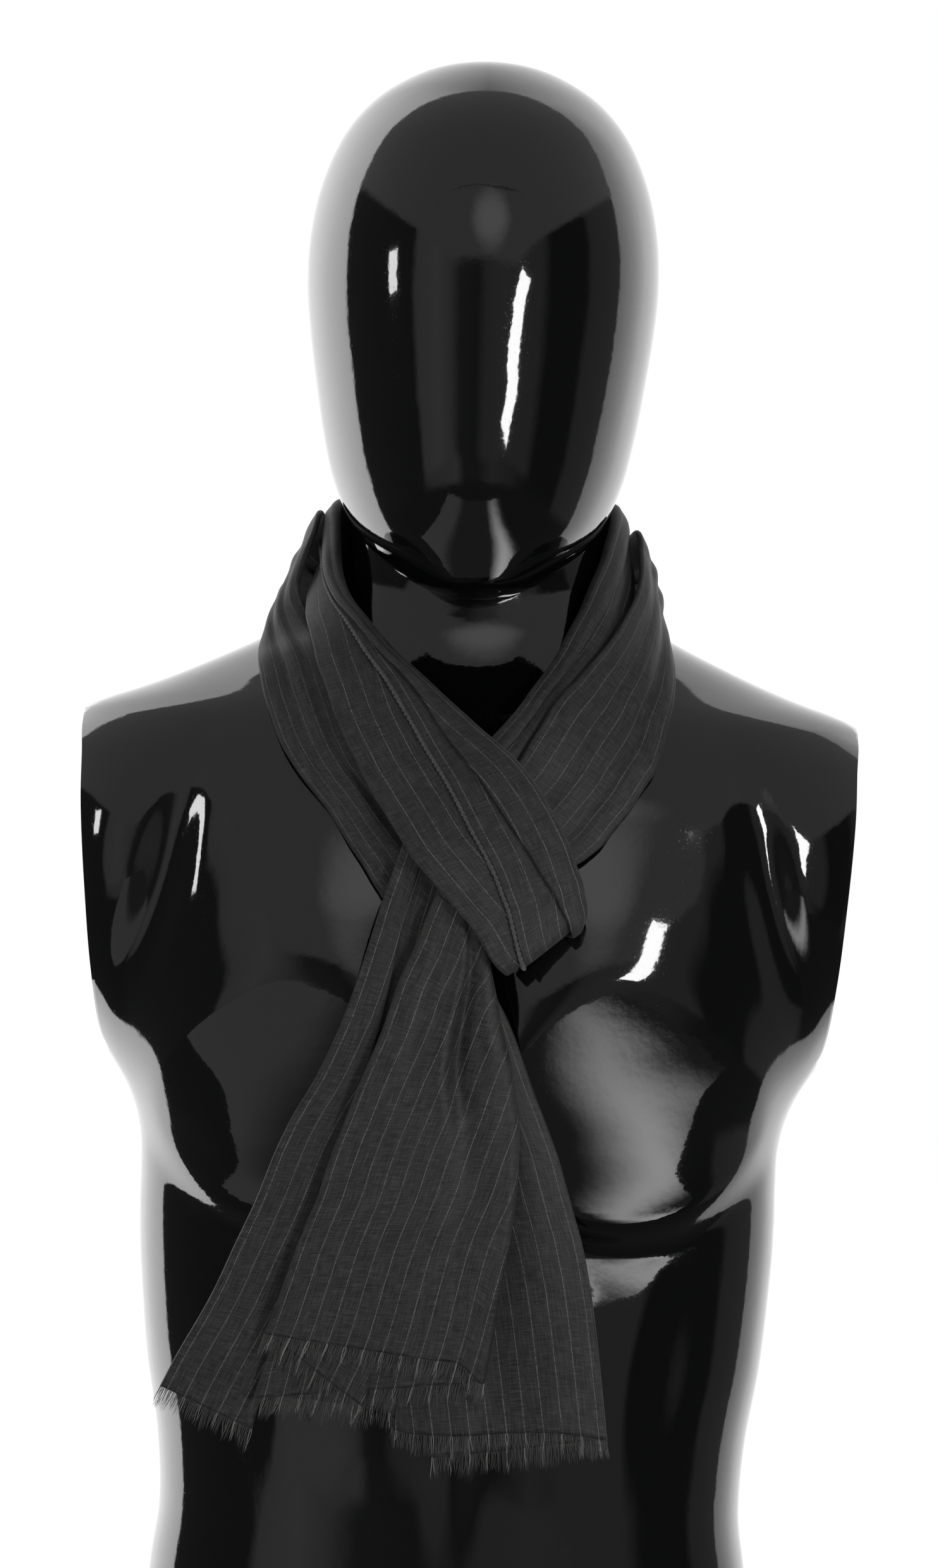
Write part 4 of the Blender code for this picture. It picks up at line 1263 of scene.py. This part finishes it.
def whipped_rope(name, sections, material):
    """A twisted rope along the first point of every section."""
    edge, lift = [], []
    for i, section in enumerate(sections):
        outward = (section[0] - section[1]).normalized()
        along = sections[min(i + 1, len(sections) - 1)][0] - sections[max(i - 1, 0)][0]
        up = along.cross(-outward).normalized()
        edge.append(section[0] + outward * ROPE_OUT + up * ROPE_UP)
        lift.append(up)
    line, length = even_line(edge, ROPE_STEP)
    points, faces = [], []
    for number, (i, part) in enumerate(line):
        centre = edge[i].lerp(edge[i + 1], part)
        up = lift[i].lerp(lift[i + 1], part).normalized()
        along = (edge[i + 1] - edge[i]).normalized()
        side = along.cross(up)
        turn = 2 * math.pi * number * ROPE_STEP / ROPE_TWIST
        thick = ROPE_RADIUS * (1 + ROPE_UNEVEN * uneven(9, number * 0.05))
        for j in range(ROPE_SIDES):
            angle = 2 * math.pi * j / ROPE_SIDES
            reach = thick * (1 + ROPE_SWELL * math.cos(2 * angle - turn))
            points.append((centre + (side * math.cos(angle) + up * math.sin(angle)) * reach) * MM)
    for number in range(len(line) - 1):
        for j in range(ROPE_SIDES):
            a, b = number * ROPE_SIDES + j, number * ROPE_SIDES + (j + 1) % ROPE_SIDES
            faces.append((a, b, b + ROPE_SIDES, a + ROPE_SIDES))
    faces.append(tuple(range(ROPE_SIDES - 1, -1, -1)))
    faces.append(tuple(range(len(points) - ROPE_SIDES, len(points))))
    rope = new_object(name, points, faces)
    rope.data.shade_smooth()
    rope.data.materials.append(material)
    print(name, "length", round(length), "mm, faces", len(faces))
    return rope


# %% Whip the edge of the front band
WHIPPING = (0.020, 0.020, 0.0225)
THREAD_SCALE = 900.0


def dye_thread(name, colour):
    """Thread with a soft change of tone along it."""
    finish = {"Base Color": colour, "Roughness": 0.7, "Sheen Weight": 0.15}
    material, tree, shader = new_material(name, finish)
    place = add_node(tree, "TexCoord", "place").outputs["Object"]
    uneven_dye = plain_noise(tree, place, THREAD_SCALE, "uneven thread")
    change = map_range(tree, uneven_dye, 0.3, 0.7, 0.55, 1.5, "tone of the thread")
    feed(tree, shader.inputs["Base Color"], toned(tree, colour, change, "toned colour"))
    return material


whipping = dye_thread("whipping_thread", WHIPPING)
front_start = round((len(INNER_RIGHT) + len(INNER_WRAP) - 2) * inner.parts_per_row)
rope = whipped_rope("whipped_edge", inner_sections[front_start:], whipping)
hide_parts("loop_front_hem")

# %% [markdown]
# ## The frayed ends
#
# Both ends are left raw, and the last weft threads are drawn out, so that the warp hangs as a
# fringe. The threads aren't even: they gather in small tufts, differ in length and curl. Each one
# is a thin three-sided tube that tapers to its tip. The yarns of the pinstripes are paler, so the
# fringe carries them on.

# %% Shape one thread, in millimetres
FRINGE_LENGTH = 11.5
THREAD_RADIUS = 0.13
THREAD_RINGS = 4
THREAD_SIDES = 3
THREAD_ROOT = 0.4
THREAD_TAPER = 0.4
CURL_TURN = 5.0


def thread_points(root, ways, long, sway, curl, thick):
    """Rings of points round a bent line that tapers, and its tip."""
    aside, down, out = ways
    points = []
    for ring in range(THREAD_RINGS):
        way = ring / THREAD_RINGS
        bend = sway * way * way + aside * curl * math.sin(way * CURL_TURN)
        centre = root - down * THREAD_ROOT + down * long * way + bend
        for j in range(THREAD_SIDES):
            angle = 2 * math.pi * j / THREAD_SIDES
            reach = (aside * math.cos(angle) + out * math.sin(angle)) * thick
            points.append(centre + reach * (1 - THREAD_TAPER * way))
    return points + [root + down * long + sway]


def thread_faces(first):
    """The faces of a thread whose points are numbered from first."""
    faces = []
    for ring in range(THREAD_RINGS):
        low = first + ring * THREAD_SIDES
        high = low + THREAD_SIDES
        at_tip = ring == THREAD_RINGS - 1
        for j in range(THREAD_SIDES):
            k = (j + 1) % THREAD_SIDES
            faces.append((low + j, low + k, high) if at_tip else (low + j, low + k, high + k, high + j))
    return faces


# %% Fray an end
THREADS_PER_TUFT = 5
TUFT_LEAN = 0.16
TUFT_SWAY = 1.3
TUFT_LIFT = 1.2
LOOSE_SWAY = 0.7
LOOSE_LIFT = 0.5
LOOSE_CURL = 0.5
STRIPE_SHARE = 0.055


def fray(name, sections, spreads, count, seed, material):
    """Threads that hang on from the last section."""
    chance = random.Random(seed)
    edge, above, spread = sections[-1], sections[-4], spreads[-1]
    line, length = even_line(edge, gone_along(edge)[-1] / count)
    points, faces, tones = [], [], []
    for number, (i, part) in enumerate(line):
        root = edge[i].lerp(edge[i + 1], part)
        down = (root - above[i].lerp(above[i + 1], part)).normalized()
        aside = (edge[i + 1] - edge[i]).normalized()
        out = down.cross(aside).normalized()
        v = spread[i] + (spread[i + 1] - spread[i]) * part
        stripe = abs((v / (STRIPE_PITCH / MM)) % 1.0 - 0.5) < STRIPE_SHARE
        tuft = number // THREADS_PER_TUFT
        lean = (tuft + 0.5) * THREADS_PER_TUFT - number
        long = FRINGE_LENGTH * (0.8 + 0.22 * uneven(seed, tuft * 1.7) + chance.uniform(-0.13, 0.1))
        swing = lean * TUFT_LEAN + TUFT_SWAY * uneven(seed + 1, tuft * 2.3)
        sway = aside * (swing + chance.uniform(-LOOSE_SWAY, LOOSE_SWAY))
        lift = TUFT_LIFT * uneven(seed + 2, tuft * 1.9)
        sway += out * (lift + chance.uniform(-LOOSE_LIFT, LOOSE_LIFT))
        curl = chance.uniform(-LOOSE_CURL, LOOSE_CURL)
        thick = THREAD_RADIUS * (1.35 if stripe else chance.uniform(0.7, 1.1))
        tone = chance.uniform(0.55, 1.0) if stripe else chance.uniform(0.0, 0.16)
        thread = thread_points(root, (aside, down, out), long, sway, curl, thick)
        faces += thread_faces(len(points))
        points += thread
        tones += [tone] * len(thread)
    fringe = new_object(name, [point * MM for point in points], faces)
    fringe.data.attributes.new("tone", "FLOAT", "POINT").data.foreach_set("value", tones)
    fringe.data.shade_smooth()
    fringe.data.materials.append(material)
    print(name, "threads", len(line), "along", round(length), "mm")
    return fringe


# %% Dye the threads and fray both ends
GROUND_YARN = (0.022, 0.022, 0.023)
STRIPE_YARN = (0.15, 0.145, 0.13)


def fray_thread():
    finish = {"Base Color": GROUND_YARN, "Roughness": 0.6, "Sheen Weight": 0.1}
    material, tree, shader = new_material("frayed_thread", finish)
    tone = add_node(tree, "Attribute", "tone of the thread", attribute_name="tone").outputs["Fac"]
    colour = mixed(tree, tone, GROUND_YARN, STRIPE_YARN, "ground or stripe yarn")
    feed(tree, shader.inputs["Base Color"], colour)
    return material


fraying = fray_thread()
front_fringe = fray("front_fringe", front_sections, front_spreads, 620, 11, fraying)
back_fringe = fray("back_fringe", back_sections, back_spreads, 700, 12, fraying)
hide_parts("fringe_front")
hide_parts("fringe_back")

# %% [markdown]
# ## Riding and finishing
#
# Nothing on this part moves, so every piece rides on the one body.

SLOTS = {
    "cloth": (inner_piece, outer_piece, front_piece, back_piece),
    "whipped_edge": (rope,),
    "fringe": (front_fringe, back_fringe),
}
for slot_name, pieces in SLOTS.items():
    for piece in pieces:
        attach(piece, "root")
print("pieces in each slot:", {slot_name: len(pieces) for slot_name, pieces in SLOTS.items()})
